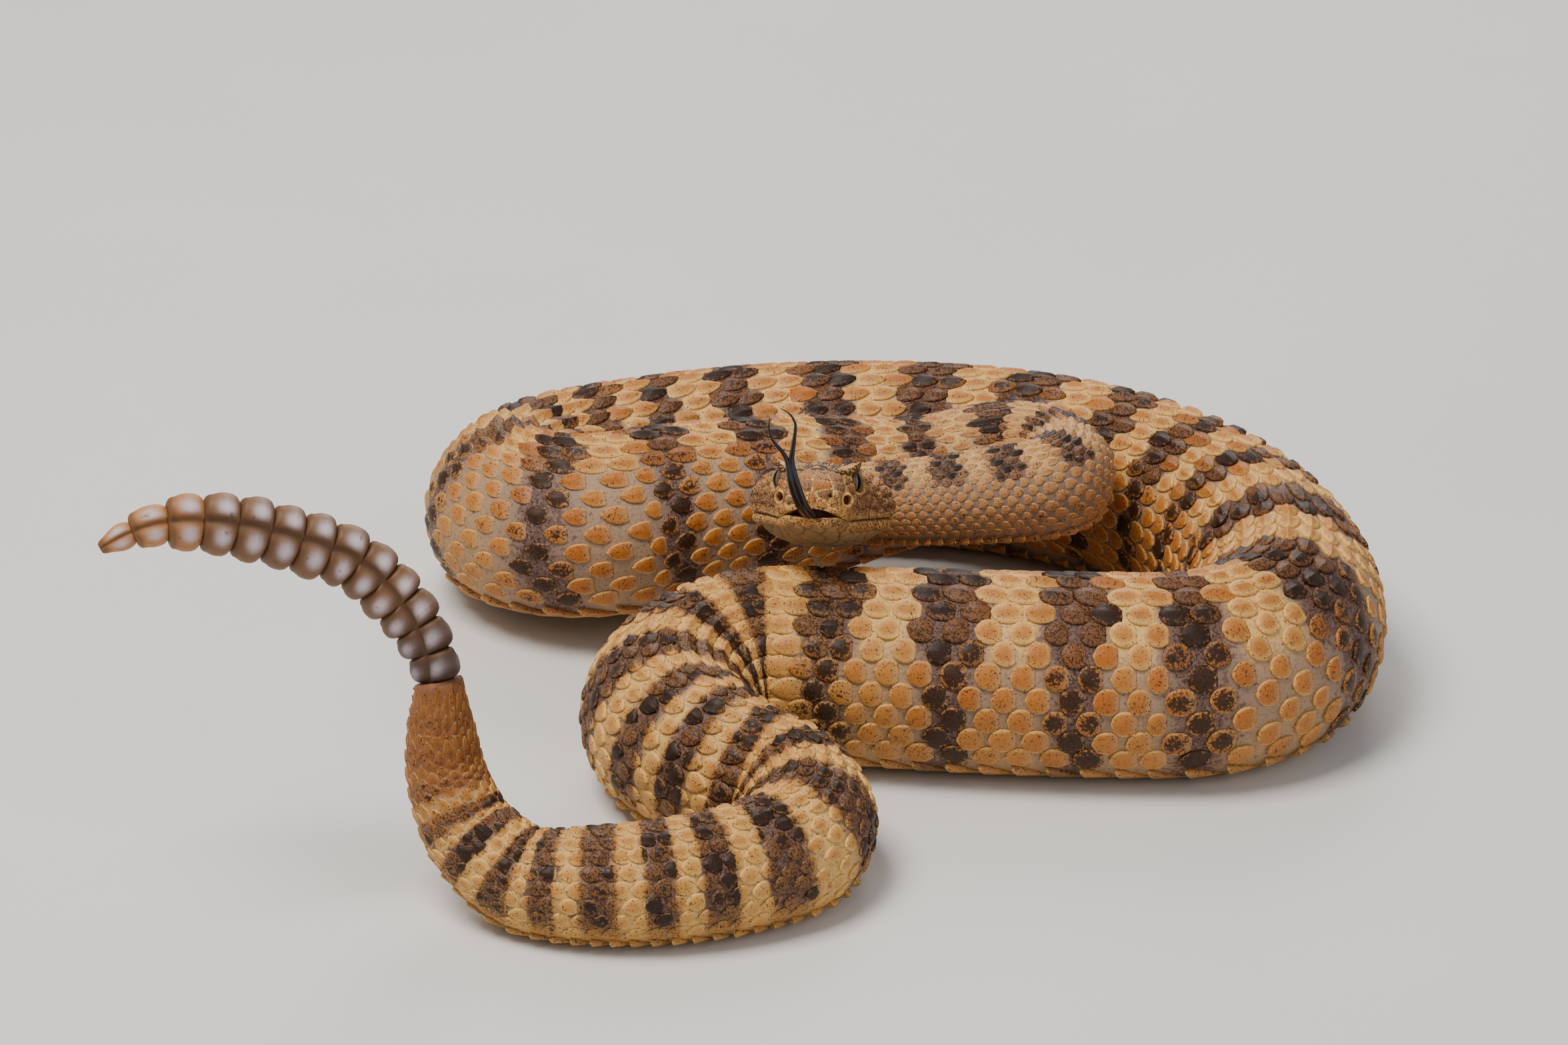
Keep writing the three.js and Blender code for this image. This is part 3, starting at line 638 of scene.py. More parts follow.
def build_skin(material):
    """One closed skin from the snout to the root of the rattle."""
    head, head_masks = build_head()
    places = np.concatenate([np.arange(1.2, RATTLE_START - 1, BODY_RING), [RATTLE_START - 0.2]])
    angles = float(mouth_angle(0.0)) + ring_angles(BODY_COLUMNS)
    s, a = np.meshgrid(places, angles, indexing="ij")
    wrapped = np.mod(a + math.pi / 2, 2 * math.pi) - math.pi / 2
    body = body_surface(s, wrapped, np.where(np.sin(wrapped) < -0.8, -0.22, -COAT))
    closing = line_at(places[-1:])[0]
    points = np.concatenate([head.reshape(-1, 3), body.reshape(-1, 3), closing])

    # The head has more columns than the body, so several of its edges meet each edge of the first body ring
    first = len(head) * HEAD_COLUMNS
    last = first + (len(places) - 1) * BODY_COLUMNS
    columns = np.arange(BODY_COLUMNS)
    following = (columns + 1) % BODY_COLUMNS
    ratio = HEAD_COLUMNS // BODY_COLUMNS
    seam = [(columns * ratio + k) % HEAD_COLUMNS for k in range(ratio + 1)]
    hub = np.full(BODY_COLUMNS, len(points) - 1)
    faces = [
        grid_faces(len(head), HEAD_COLUMNS)[:, ::-1],
        np.stack(seam + [first + following, first + columns], -1),
        grid_faces(len(places), BODY_COLUMNS, first=first),
        np.stack([last + columns, last + following, hub], -1),
    ]

    body_masks = markings(s.ravel(), offset_of(wrapped.ravel()))
    on_head = {key: np.append(values, np.zeros(s.size + 1)) for key, values in head_masks.items()}
    on_body = {key: np.concatenate([np.zeros(first), values, values[-1:]])
               for key, values in body_masks.items()}
    lengths = ["neck"] + [f"body_{i}" for i in range(1, 12)] + ["tail"]
    add_piece("skin", points, faces, material, {**on_head, **on_body},
              replaced=["head", "lower_jaw", *lengths], weld=WELD)


# Shape of one scale: stations from its root to its tip, columns across it, and its two outlines
SCALE_T = np.array([0.0, 0.1, 0.25, 0.42, 0.58, 0.73, 0.86, 0.95, 1.0])
SCALE_W = np.array([-1.0, -0.74, -0.36, -0.1, 0.1, 0.36, 0.74, 1.0])
OUTLINE_T = [0.0, 0.12, 0.3, 0.5, 0.68, 0.84, 0.95, 1.0]
drop_outline = smooth_through(OUTLINE_T, [0.72, 0.9, 1.0, 0.97, 0.83, 0.58, 0.31, 0.07])
round_outline = smooth_through(OUTLINE_T, [0.5, 0.8, 0.98, 1.0, 0.93, 0.74, 0.46, 0.16])


def perimeter(rows, columns):
    """Indices round the edge of a grid, in order."""
    index = np.arange(rows * columns).reshape(rows, columns)
    return np.concatenate([index[0], index[1:, -1], index[-1, -2::-1], index[-2:0:-1, 0]])


def many(face_table, count, stride):
    """Repeats the faces of one small form for many of them."""
    return (face_table[None] + (np.arange(count) * stride)[:, None, None]).reshape(-1, face_table.shape[1])


def plate_grid(stations, columns, base_t, base_shift, base_w):
    """Places t along and w across one plate, its base's ring last, and which of the places are the base."""
    t, w = [grid.ravel() for grid in np.meshgrid(stations, columns, indexing="ij")]
    rim = perimeter(len(stations), len(columns))
    base = np.arange(len(t) + len(rim)) >= len(t)
    return np.append(t, t[rim] * base_t + base_shift), np.append(w, w[rim] * base_w), base


def add_plates(name, grid, plates, material, part=slice(None)):
    """Piece of many separate plates, each a grid of points with a thin wall and a closed base."""
    points, masks, u, v = plates
    shape = points.shape[:2]
    points = points[part]
    masks = {key: np.broadcast_to(values, shape)[part] for key, values in masks.items()}
    uv = np.stack(np.broadcast_arrays(u, v), -1)[part]
    rows, columns = len(grid[0]), len(grid[1])
    rim = perimeter(rows, columns)
    ring = rows * columns + np.arange(len(rim))
    wall = np.stack([ring, np.roll(ring, -1), np.roll(rim, -1), rim], -1)
    forms = (grid_faces(rows, columns, closed=False), wall, ring[None, :])
    faces = [many(form, len(points), shape[1]) for form in forms]
    add_piece(name, points, faces, material, masks, uv)


def pitch_at(s):
    return np.interp(s, *zip(*SCALE_PITCH))


def crowding_at(s):
    """How much closer the scales lie where the body bends."""
    return 1 + CROWDING * np.abs(np.interp(s, line_s, line_bend)) * radius_at(s)


def scale_places():
    """Lengths, offsets from the spine, pitches and row widths of all the scales, from head to tail."""
    found = []
    fine = np.arange(0, RATTLE_START, FINE_STEP)
    zone_ends = [start for start, _ in SCALE_ROWS[1:]] + [RATTLE_START - 1.0]
    for (start, rows), end in zip(SCALE_ROWS, zone_ends):
        inside = fine[(fine >= start) & (fine < end)]
        row_width = radius_at(inside) * 2 * HALF_ARC / (rows - 1)
        count = np.cumsum(FINE_STEP / pitch_at(inside) * crowding_at(inside))
        total = int(count[-1])
        for row in range(rows):
            steps = np.arange(0, total) + (0.5 if row % 2 else 0.0) + 0.3
            s = np.interp(steps * count[-1] / total, count, inside)
            s = s + rng.normal(0, 0.05, len(s)) * np.interp(s, inside, row_width)
            offset = np.full(len(s), HALF_ARC * (2 * row / (rows - 1) - 1))
            pitch = np.interp(s, inside, pitch_at(inside))
            found.append(np.stack([s, offset, pitch, np.interp(s, inside, row_width)]))
    places = np.concatenate(found, 1)
    return places[:, np.argsort(places[0], kind="stable")][..., None]


def scale_forms(s0, offset0, pitch, width):
    """Points, masks and UV places of every scale: a domed plate with a thin wall and a closed base."""
    t, w, base = plate_grid(SCALE_T, SCALE_W, 0.97, 0.01, 0.94)
    low = np.abs(offset0) / HALF_ARC
    # Loose scales stand apart on the flank and overlap on the back; the lowest rows are the largest
    loose = ease(s0, 4, 25) * (1 - ease(s0, 405, 436)) * ease(low, 0.08, 0.4)
    round_form = np.maximum(ease(s0, 335, 360) * (1 - ease(s0, 405, 430)), 1 - ease(s0, 30, 80))
    skirt = ease(low, 0.8, 0.98)
    length = pitch * (1.1 + (0.8 + 0.12 * skirt - 1.1) * loose)
    half = width * (0.52 + (0.505 + 0.075 * round_form + 0.04 * skirt - 0.52) * loose)
    size = 1 + rng.normal(0, 0.035, s0.shape)
    skew = rng.normal(0, 0.04, s0.shape)
    bend = np.interp(s0, line_s, line_bend)
    stretch = np.maximum(1 - bend * radius_at(s0) * np.cos(angle_of(offset0)), 0.4) ** 0.85

    outline = drop_outline(t) * (1 - round_form) + round_outline(t) * round_form
    drop = t - 0.05 * w ** 2 * (t - 0.4)
    s = s0 + ((drop - 0.5) * length * size) / stretch
    across = w * outline * half * size + skew * length * (t - 0.5)
    offset = offset0 + across / radius_at(s0)
    thick = 0.085 * width
    arch = ease(t, -0.05, 0.5) * (1 - 0.25 * ease(t, 0.8, 1.0))
    crown = 1 - 0.36 * w ** 2 - 0.2 * w ** 6
    lip = 0.35 * np.maximum(ease(np.abs(w), 0.8, 1.0), ease(t, 0.9, 1.0))
    keel = np.where(np.abs(w) < 0.12, 1.0, 0.0) * ease(t, 0.1, 0.45) * (1 - 0.5 * ease(t, 0.8, 1))
    keel_height = 0.3 * (1 - 0.93 * ease(low, 0.2, 0.5))
    lift = thick * (0.25 + 1.9 * arch * crown + lip * loose) + keel_height * keel * thick / 0.2 - 0.12
    lift = np.where(base, -0.16, lift)
    standing = (0.05 + 0.1 * rng.random(s0.shape)) * t * (1 - base)
    # Scales of the inner side of a bend ride up over one another
    crowd = np.clip(0.75 - stretch, 0, 1) * 0.9
    lift = lift + standing * thick / 0.2 + crowd * (t - 0.2) * (1 - base)
    points = body_surface(s, angle_of(offset), lift - COAT)

    # One shade for a whole scale, but clean edges across the scales of the folds
    whole = markings(s0, offset0)
    local = markings(s, offset)
    clean = 0.85 * ease(s0, *FOLD_FADE)
    lone = 0.3 * rng.random(s0.shape) ** 3 * whole["flank"]
    whole["dark"] = np.maximum(whole["dark"], lone)
    masks = {key: whole[key] * (1 - clean) + local[key] * clean for key in whole}
    masks["tone"] = rng.random(s0.shape)
    edge = np.maximum(ease(np.abs(w), 0.76, 1.0), ease(t, 0.9, 1.0))
    masks["edge"] = np.where(base, 1.0, edge)
    masks["centre"] = 1 - ease(np.hypot((t - 0.52) / 0.52, w * 0.95), 0.35, 1.08)
    masks["along"] = t
    u = UV_START + UV_LENGTH * s0 / RATTLE_START + UV_PATCH * (t - 0.5)
    v = 0.06 + 0.86 * (offset0 / HALF_ARC + 1) / 2 + UV_PATCH * w * 0.5 * outline
    return points, masks, u, v


def build_scales(material):
    plates = scale_forms(*scale_places())
    for number, start in enumerate(range(0, len(plates[0]), SCALES_PER_PIECE)):
        part = slice(start, start + SCALES_PER_PIECE)
        add_plates(f"scales_{number + 1}", (SCALE_T, SCALE_W), plates, material, part)


# Belly scutes: broad plates across the belly whose pointed ends show under the lowest row
SCUTE_T = np.array([0.0, 0.3, 0.62, 0.86, 1.0])
SCUTE_W = np.sin(np.linspace(-math.pi / 2, math.pi / 2, 29))
SCUTE_END = math.radians(-35)


def build_scutes(material):
    fine = np.arange(3, RATTLE_START - 2, FINE_STEP)
    pitch = pitch_at(fine) / crowding_at(fine)
    count = np.cumsum(FINE_STEP / pitch)
    s0 = np.interp(np.arange(0.5, count[-1]), count, fine)[:, None]
    own = np.interp(s0, fine, pitch)
    t, w, base = plate_grid(SCUTE_T, SCUTE_W, 1.0, 0.0, 0.985)
    # The ends narrow to points that lean towards the tail and stand off a little
    side = np.abs(w)
    s = s0 + own * (1.2 * (t - 0.5) * (1 - 0.94 * side ** 3.5) + 0.95 * side ** 3.5)
    arc = w * (offset_of(SCUTE_END) + SPINE_ARC)
    over_left = np.interp(arc, round_arcs, round_angles)
    over_right = math.pi - np.interp(-arc, round_arcs, round_angles)
    proud = 0.7 * ease(side, 0.66, 0.92) * (1 - 0.3 * ease(side, 0.97, 1)) * (1 - 0.9 * ease(s0, 530, 560))
    lift = np.where(base, -COAT - 0.12, -COAT + 0.06 + 0.3 * t + proud)
    points = body_surface(s, np.where(arc < 0, over_right, over_left), lift)
    masks = markings(s0, HALF_ARC)
    masks = {key: masks[key] for key in ("dark", "rust", "gold")}
    masks["tone"] = rng.random(s0.shape)
    masks["end"] = ease(side, 0.62, 0.8)
    masks["edge"] = np.maximum(ease(t, 0.86, 1.0), ease(side, 0.97, 1) * ease(t, 0.2, 0.6))
    u = UV_START + UV_LENGTH * s0 / RATTLE_START + UV_PATCH * (t - 0.5)
    v = 0.005 + 0.03 * (w + 1) / 2
    add_plates("belly_scutes", (SCUTE_T, SCUTE_W), (points, masks, u, v), material)


def build_eye(name, sign, material):
    """A ball whose masks measure across and up from the middle of the cornea, in radii."""
    facing = unit(mirrored(EYE["gaze"], sign))
    rings, sides = 40, 64
    polar, turn = np.meshgrid(np.linspace(0, math.pi, rings), ring_angles(sides), indexing="ij")
    above = unit(np.array([0, 0, 1.0]) - facing * facing[2])
    forward = np.cross(above, facing)
    across = np.sin(polar) * np.cos(turn)
    rise = np.sin(polar) * np.sin(turn)
    ball = facing * np.cos(polar)[..., None] + forward * across[..., None] + above * rise[..., None]
    ball = ball * (1 + 0.05 * bump(polar, 0.6))[..., None]
    points = head_to_world(mirrored(EYE["centre"], sign) + ball * EYE["radius"])
    masks = {"across": across, "rise": rise}
    add_piece(name + "_ball", points, [grid_faces(rings, sides)], material, masks, replaced=[name])


def build_brow(name, sign, material):
    """Broad plate over an eye, whose outer edge turns up to a point."""
    form = BROW_PLATE
    rings, sides = 12, 64
    shares = np.linspace(0, 1, rings)
    share, turn = np.meshgrid(shares, ring_angles(sides), indexing="ij")
    near_tip = bump(np.mod(turn - form["tip_turn"] + math.pi, 2 * math.pi) - math.pi, 0.5)
    radius = share * (1 + form["tip_reach"] * near_tip * share)
    forward = form["half_length"] * radius * np.cos(turn)
    outward = form["half_width"] * radius * np.sin(turn)
    rise = form["slope"] * outward + form["dome"] * (1 - share ** 2.5)
    rise = rise + form["tip_rise"] * near_tip * share ** 3 - 0.22 * share ** 10
    x, y, z = form["centre"]
    top = np.stack([sign * (x + outward), y + forward, z + rise], -1)
    bottom = top[-1] - np.array([0, 0, form["thick"]])
    bottom[:, 0] = sign * x + (bottom[:, 0] - sign * x) * 0.9
    bottom[:, 1] = y + (bottom[:, 1] - y) * 0.94
    points = head_to_world(np.concatenate([top.reshape(-1, 3), bottom]))
    # The rim and underside get denser dark specks: real flecks, made denser as painted shade under the plate
    under = np.concatenate([np.repeat(ease(shares, 0.9, 1), sides), np.ones(sides)])
    faces = [grid_faces(rings + 1, sides), (rings * sides + np.arange(sides))[None, :]]
    add_piece(name, points, faces, material, {"under": under})


def spline(route, steps):
    """Smooth curve through a route's points."""
    route = np.array(route, float)
    ext = np.concatenate([[2 * route[0] - route[1]], route, [2 * route[-1] - route[-2]]])
    t = np.linspace(0, 1, steps, endpoint=False)[:, None]
    spans = [0.5 * (2 * p1 + (p2 - p0) * t + (2 * p0 - 5 * p1 + 4 * p2 - p3) * t ** 2
                    + (3 * p1 - p0 - 3 * p2 + p3) * t ** 3)
             for p0, p1, p2, p3 in zip(ext, ext[1:], ext[2:], ext[3:])]
    return np.concatenate(spans + [route[-1:]])


# Tongue: two cords side by side that part into tines, in the head's frame
TONGUE_STEM = [(0, 22.2, -0.1), (0, 25.2, -0.1), (0.2, 27.9, 0.3), (1.2, 30.6, 2.2), (2.2, 33, 5.4)]
TONGUE_TINES = [
    [(3.2, 34.6, 8.8), (3.9, 35.5, 10.3), (5.3, 36.8, 12.1), (5.9, 38.2, 14.0), (5.7, 39.6, 15.8)],
    [(2.5, 34.6, 8.8), (2.35, 35.6, 10.6), (2.0, 37.0, 12.8), (1.8, 38.6, 15.0), (2.6, 39.7, 16.5),
     (4.0, 40.3, 17.4)],
]
TONGUE_SPREAD = 0.42


def build_tongue(material):
    points, faces, first = [], [], 0
    sides = 20
    turn = ring_angles(sides)
    for route, sign in zip(TONGUE_TINES, (1, -1)):
        spread = [sign * TONGUE_SPREAD * (0.8 + 0.2 * i / 4) for i in range(len(TONGUE_STEM))]
        stem = [(x + shift, y, z) for shift, (x, y, z) in zip(spread, TONGUE_STEM)]
        path = spline(stem + route, 14)
        travel = sums(np.linalg.norm(np.diff(path, axis=0), axis=1))
        share = travel / travel[-1]
        along = unit(np.gradient(path, axis=0))
        across = unit(np.array([1.0, 0, 0]) - along * along[:, :1])
        above = np.cross(across, along)
        size = np.interp(share, [0, 0.25, 0.5, 0.7, 0.9, 1.0], [0.7, 0.74, 0.58, 0.36, 0.2, 0.06])
        thin = np.interp(share, [0, 0.45, 0.7, 1.0], [0.42, 0.42, 0.32, 0.06])
        ring = (across[:, None] * (size[:, None] * np.cos(turn))[..., None]
                + above[:, None] * (thin[:, None] * np.sin(turn))[..., None] + path[:, None])
        points.append(ring.reshape(-1, 3))
        faces.extend(tube_faces(len(path), sides, first))
        first += len(path) * sides
    add_piece("tongue_forked", head_to_world(np.concatenate(points)), faces, material,
              replaced=["tongue"])


# Rattle: loose horn segments, each a two-lobed bead whose skirt covers the root of the next
RATTLE = {"pitch": 4.2, "growth": 0.092, "segments": 10, "half_height": 5.3, "half_thick": 3.5,
          "groove": 0.34}
RATTLE_PROFILE = np.array([
    (-0.25, 0.5), (-0.06, 0.62), (0.0, 0.72), (0.06, 0.84), (0.14, 0.93), (0.26, 0.985), (0.42, 1.0),
    (0.58, 0.985), (0.7, 0.94), (0.8, 0.9), (0.88, 0.885), (0.95, 0.83), (1.0, 0.72), (1.03, 0.6),
    (0.96, 0.5),
])
RATTLE_TIP = [0.87, 0.64, 0.43]
RATTLE_ROOT = RATTLE_START - 0.9


def build_rattle(material):
    sides = 56
    turn = math.pi / 2 + ring_angles(sides)
    place, girth = RATTLE_PROFILE.T
    grown = ease(np.arange(RATTLE["segments"]), -2, 3)
    worn = ease(np.arange(RATTLE["segments"]), 8, RATTLE["segments"])
    size = np.append(0.9 + 0.1 * grown - 0.06 * worn, RATTLE_TIP)[:, None]
    number = np.arange(len(size))[:, None]
    draws = np.array([(rng.normal(0, 0.02), rng.random()) for _ in size])
    tilt, tone = draws.T[..., None, None]
    start = RATTLE_START + number * RATTLE["pitch"] + RATTLE["growth"] * number ** 2 / 2
    s = start + place * (RATTLE["pitch"] + RATTLE["growth"] * number)
    s[0] = np.maximum(s[0], RATTLE_ROOT)
    reach = girth * size
    reach[-1] *= 1 - 0.4 * ease(place, 0.3, 1.03)
    # A groove along each side parts a smaller upper lobe from a larger lower one; its mask also carries a
    # dark painted shade
    level = np.sin(turn) - RATTLE["groove"]
    groove = bump(level, 0.17) * ease(girth, 0.5, 0.95)[:, None]
    # The middles of the lobes carry a pale painted highlight
    lobe_highlights = np.maximum(bump(level - 0.42, 0.2), bump(level + 0.5, 0.3))
    across = RATTLE["half_thick"] * reach[..., None] * np.cos(turn) * (1.04 - 0.36 * groove)
    rise = RATTLE["half_height"] * reach[..., None] * np.sin(turn) * (1 + tilt)
    point, _, left, up, _ = line_at(s)
    points = point[:, :, None] + left[:, :, None] * across[..., None] + up[:, :, None] * rise[..., None]
    masks = {
        "lobe_highlight": ease(bump(place - 0.42, 0.26)[:, None] * lobe_highlights, 0.0, 1.1),
        "groove": groove,
        "rim": ease(place, 0.72, 0.9)[:, None],
        "order": (number / number[-1])[..., None],
        "tone": tone,
    }
    faces = [many(form, len(size), len(place) * sides) for form in tube_faces(len(place), sides)]
    add_piece("rattle_horn", points, faces, material, masks, replaced=["rattle"])


# Roughness of a wet coat, and the noise level of the specks where none is wanted and how far it may fall
COAT_ROUGHNESS = 0.12
SPECK_LEVEL = 0.72
SPECK_FALL = -0.3


class Paint:
    """Material whose colour is laid on in layers. A share is a number, a mask's name or a node's output."""

    def __init__(self, name, colour, roughness, specular, coat=0.0):
        self.material = bpy.data.materials.new(name)
        self.material.use_nodes = True
        self.tree = self.material.node_tree
        self.shader = self.tree.nodes["Principled BSDF"]
        self.colour = colour
        settings = {"Roughness": roughness, "Specular IOR Level": specular, "Coat Weight": coat,
                    "Coat Roughness": COAT_ROUGHNESS, "Base Color": colour}
        for key, value in settings.items():
            self.link(value, self.shader.inputs[key])

    def link(self, source, target):
        if isinstance(source, str):
            source = self.node("Attribute", {}, "Fac", attribute_name=source)
        if isinstance(source, (int, float)):
            target.default_value = source
        elif isinstance(source, tuple):
            target.default_value = (*source, 1)
        else:
            self.tree.links.new(source, target)

    def node(self, kind, inputs, output, **properties):
        """Output of a new node with these inputs and properties."""
        node = self.tree.nodes.new("ShaderNode" + kind)
        for key, value in properties.items():
            setattr(node, key, value)
        for key, source in inputs.items():
            self.link(source, node.inputs[key])
        return node.outputs[output]

    def math(self, operation, a, b, clamp=True, third=0.0):
        return self.node("Math", {0: a, 1: b, 2: third}, 0, operation=operation, use_clamp=clamp)

    def product(self, *shares):
        result = shares[0]
        for share in shares[1:]:
            result = self.math("MULTIPLY", result, share)
        return result

    def inverse(self, share):
        return self.math("SUBTRACT", 1.0, share)

    def scaled(self, share, factor, base, clamp=False):
        """A share times a factor, plus a base."""
        return self.math("MULTIPLY_ADD", share, factor, clamp, base)

    def noise(self, size, seed, detail=2.0):
        """Noise whose features are about size mm across."""
        place = self.node("TexCoord", {}, "Object")
        inputs = {"Vector": place, "W": seed, "Scale": 1 / (size * MM), "Detail": detail}
        return self.node("TexNoise", inputs, "Fac", noise_dimensions="4D")

    def between(self, value, low, high):
        """0 below low, 1 above high, and smooth between."""
        inputs = {"Value": value, "From Min": low, "From Max": high}
        return self.node("MapRange", inputs, "Result", interpolation_type="SMOOTHSTEP")

    def layers(self, *layers):
        """Lays colours on in order, each by the product of the shares that follow it."""
        for colour, *shares in layers:
            inputs = {"Factor": self.product(*shares), 6: self.colour, 7: colour}
            self.colour = self.node("Mix", inputs, 2, data_type="RGBA")

    def specks(self, colour, density, size, seed, strength, sharp=0.035):
        """Specks of one colour, about size mm across; density is a share."""
        level = self.scaled(density, SPECK_FALL, SPECK_LEVEL)
        high = self.math("ADD", level, sharp, False)
        self.layers((colour, self.between(self.noise(size, seed, 3.0), level, high), strength))

    def done(self, grain=None, distance=0.0, strength=1.0):
        """The material, with its colour and a relief whose height is in mm."""
        self.link(self.colour, self.shader.inputs["Base Color"])
        if grain is not None:
            inputs = {"Height": grain, "Distance": distance * MM, "Strength": strength}
            self.link(self.node("Bump", inputs, "Normal"), self.shader.inputs["Normal"])
        return self.material


# Palette, linear
ORANGE = (0.40, 0.115, 0.013)
OCHRE = (0.48, 0.19, 0.032)
CREAM = (0.79, 0.475, 0.145)
PALE = (0.46, 0.28, 0.14)
SKIN_PALE = (0.275, 0.18, 0.125)
TAN_BROWN = (0.13, 0.058, 0.025)
NEAR_BLACK = (0.015, 0.006, 0.003)
DUSK = (0.12, 0.06, 0.048)
RUST = (0.22, 0.075, 0.015)
GOLD = (0.58, 0.33, 0.08)
KHAKI = (0.27, 0.185, 0.082)
PIT_RED = (0.19, 0.035, 0.012)
MOUTH_PINK = (0.12, 0.035, 0.04)
MOTTLE = (0.16, 0.1, 0.085)
HEAD_OCHRE = (0.43, 0.21, 0.08)
HEAD_RUST = (0.27, 0.095, 0.024)
CHEEK_BROWN = (0.2, 0.085, 0.03)
FACE_BROWN = (0.1, 0.045, 0.02)
HOLE_SHADE = (0.012, 0.007, 0.006)
BROW_OCHRE = (0.46, 0.21, 0.05)
STRAW = (0.50, 0.32, 0.13)
DARK_STRAW = (0.42, 0.24, 0.08)
HORN = (0.15, 0.07, 0.028)
HORN_WARM = (0.24, 0.12, 0.05)
HORN_ROOT = (0.055, 0.03, 0.02)
HORN_TIP = (0.42, 0.18, 0.055)
HORN_LOBE_HIGHLIGHT = (0.64, 0.55, 0.60)
GROOVE_SHADE = (0.085, 0.04, 0.02)
HORN_RIM = (0.11, 0.05, 0.022)
HORN_SPECK = (0.1, 0.05, 0.025)
TONGUE_BLACK = (0.004, 0.004, 0.007)
TONGUE_SHEEN_BLUE = (0.008, 0.012, 0.03)
IRIS = (0.075, 0.042, 0.03)
IRIS_FLECK = (0.13, 0.075, 0.05)
IRIS_RING = (0.16, 0.095, 0.06)
PUPIL = (0.002, 0.002, 0.002)
EYE_EDGE_SHADE = (0.02, 0.012, 0.01)
FLOOR_PALE = (0.72, 0.70, 0.67)
FLOOR_SHADE = (0.70, 0.68, 0.65)


def scale_material():
    paint = Paint("scale_keratin", ORANGE, 0.5, 0.25)
    paint.layers(
        (OCHRE, "tone", 0.5), (CREAM, "light", paint.scaled("centre", -0.75, 0.9)), (GOLD, "gold", 0.5),
        (PALE, paint.between("along", 0.4, 0.0), "flank", 0.65), (PALE, "neck", 0.4),
        (CREAM, "edge", paint.scaled("dark", -0.4, 0.6)),
        (TAN_BROWN, "dark", paint.scaled("flank", -0.55, 0.85)),
        (RUST, "rust", paint.scaled("edge", -0.35, 0.8)),
    )
    # Black grows from the middle of the dark scales with ragged borders; fine specks lie on all of them
    chosen = paint.math("MAXIMUM", "flank", paint.between("tone", -0.1, 1.0))
    spread = paint.scaled(paint.product("dark", chosen), -1.5, 1.25)
    heart = paint.scaled("centre", 0.75, paint.scaled(paint.noise(0.6, 9.0, 4.0), 2.8, -1.4))
    paint.layers((NEAR_BLACK, paint.between(heart, spread, paint.math("ADD", spread, 0.35, False)), 0.9))
    paint.specks(NEAR_BLACK, paint.scaled("dark", 0.3, 0.44), 0.26, 3.0, 0.8)
    return paint.done(paint.noise(0.3, 5.0, 4.0), 0.09, 0.8)


def skin_material():
    paint = Paint("skin_leather", SKIN_PALE, 0.55, 0.25)
    on_body = paint.inverse("head")
    # On the neck the skin is darkened a little as painted shade in the gaps between its crowded scales
    paint.layers(
        (CREAM, "light", 0.8), (GOLD, "gold", 0.6), (TAN_BROWN, "neck", 0.12), (DUSK, "dark", 0.6),
        (TAN_BROWN, "dark", paint.inverse("flank"), 0.6), (RUST, "rust", 0.85),
    )
    paint.specks(MOTTLE, paint.product(on_body, 0.7), 0.5, 41.0, 0.5, 0.12)
    paint.specks(DUSK, paint.product(paint.scaled("dark", 0.85, 0.32, True), on_body), 0.9, 1.0, 0.8, 0.06)
    paint.specks(NEAR_BLACK, paint.product("dark", on_body, 0.75), 0.4, 31.0, 0.7, 0.05)
    # Head: plates of ochre and orange, pale seams, dark flecks, khaki chin
    paint.layers(
        (HEAD_OCHRE, "head"), (HEAD_RUST, "head", "tone", 0.6), (ORANGE, "snout", "tone", 0.7),
        (CREAM, "crown", 0.3), (CREAM, "lip", 0.4), (CHEEK_BROWN, "cheek", 0.6), (KHAKI, "chin", 0.85),
        (CREAM, "seam", "snout", 0.9), (TAN_BROWN, "seam", paint.math("SUBTRACT", "head", "snout"), 0.7),
        (TAN_BROWN, "snout", paint.between("tone", 0.5, 0.4), paint.inverse("seam"), 0.65),
    )
    calm = paint.math("ADD", paint.product("chin", 0.45), paint.product("snout", 0.08))
    paint.specks(NEAR_BLACK, paint.product("head", paint.math("SUBTRACT", 0.66, calm)), 0.26, 12.0, 0.85)
    paint.specks(NEAR_BLACK, paint.product("crown", 0.8), 0.9, 21.0, 0.9, 0.03)
    paint.specks(FACE_BROWN, paint.product("head", paint.inverse("chin"), 0.4), 1.5, 27.0, 0.7, 0.09)
    # Near-black nostrils and eye hollows in these layers are painted shade
    paint.layers(
        (GOLD, "horn", 0.4), (CREAM, "rim", 0.8), (PIT_RED, "pit"), (HOLE_SHADE, "hole_shade"),
        (MOUTH_PINK, "mouth"),
    )
    return paint.done(paint.noise(0.5, 7.0, 5.0), 0.22, 0.8)


def brow_material():
    paint = Paint("brow_keratin", BROW_OCHRE, 0.5, 0.25)
    paint.layers((CREAM, paint.between(paint.noise(1.6, 2.0), 0.4, 0.7), 0.6))
    # Dark specks are real flecks, denser on the rim and underside as painted shade under the plate
    paint.specks(NEAR_BLACK, paint.scaled("under", 0.5, 0.45), 0.4, 5.0, 0.9)
    return paint.done(paint.noise(0.3, 2.0), 0.04, 0.6)


def scute_material():
    paint = Paint("scute_keratin", STRAW, 0.5, 0.3)
    paint.layers(
        (DARK_STRAW, "tone", 0.3), (ORANGE, "end", 0.7), (GOLD, "gold", 0.5),
        (TAN_BROWN, "end", "dark", 0.7), (RUST, "rust", 0.7), (CREAM, "edge", 0.7),
    )
    paint.specks(NEAR_BLACK, paint.product("end", 0.5), 0.4, 4.0, 0.8)
    return paint.done(paint.noise(0.3, 2.0), 0.03, 0.5)


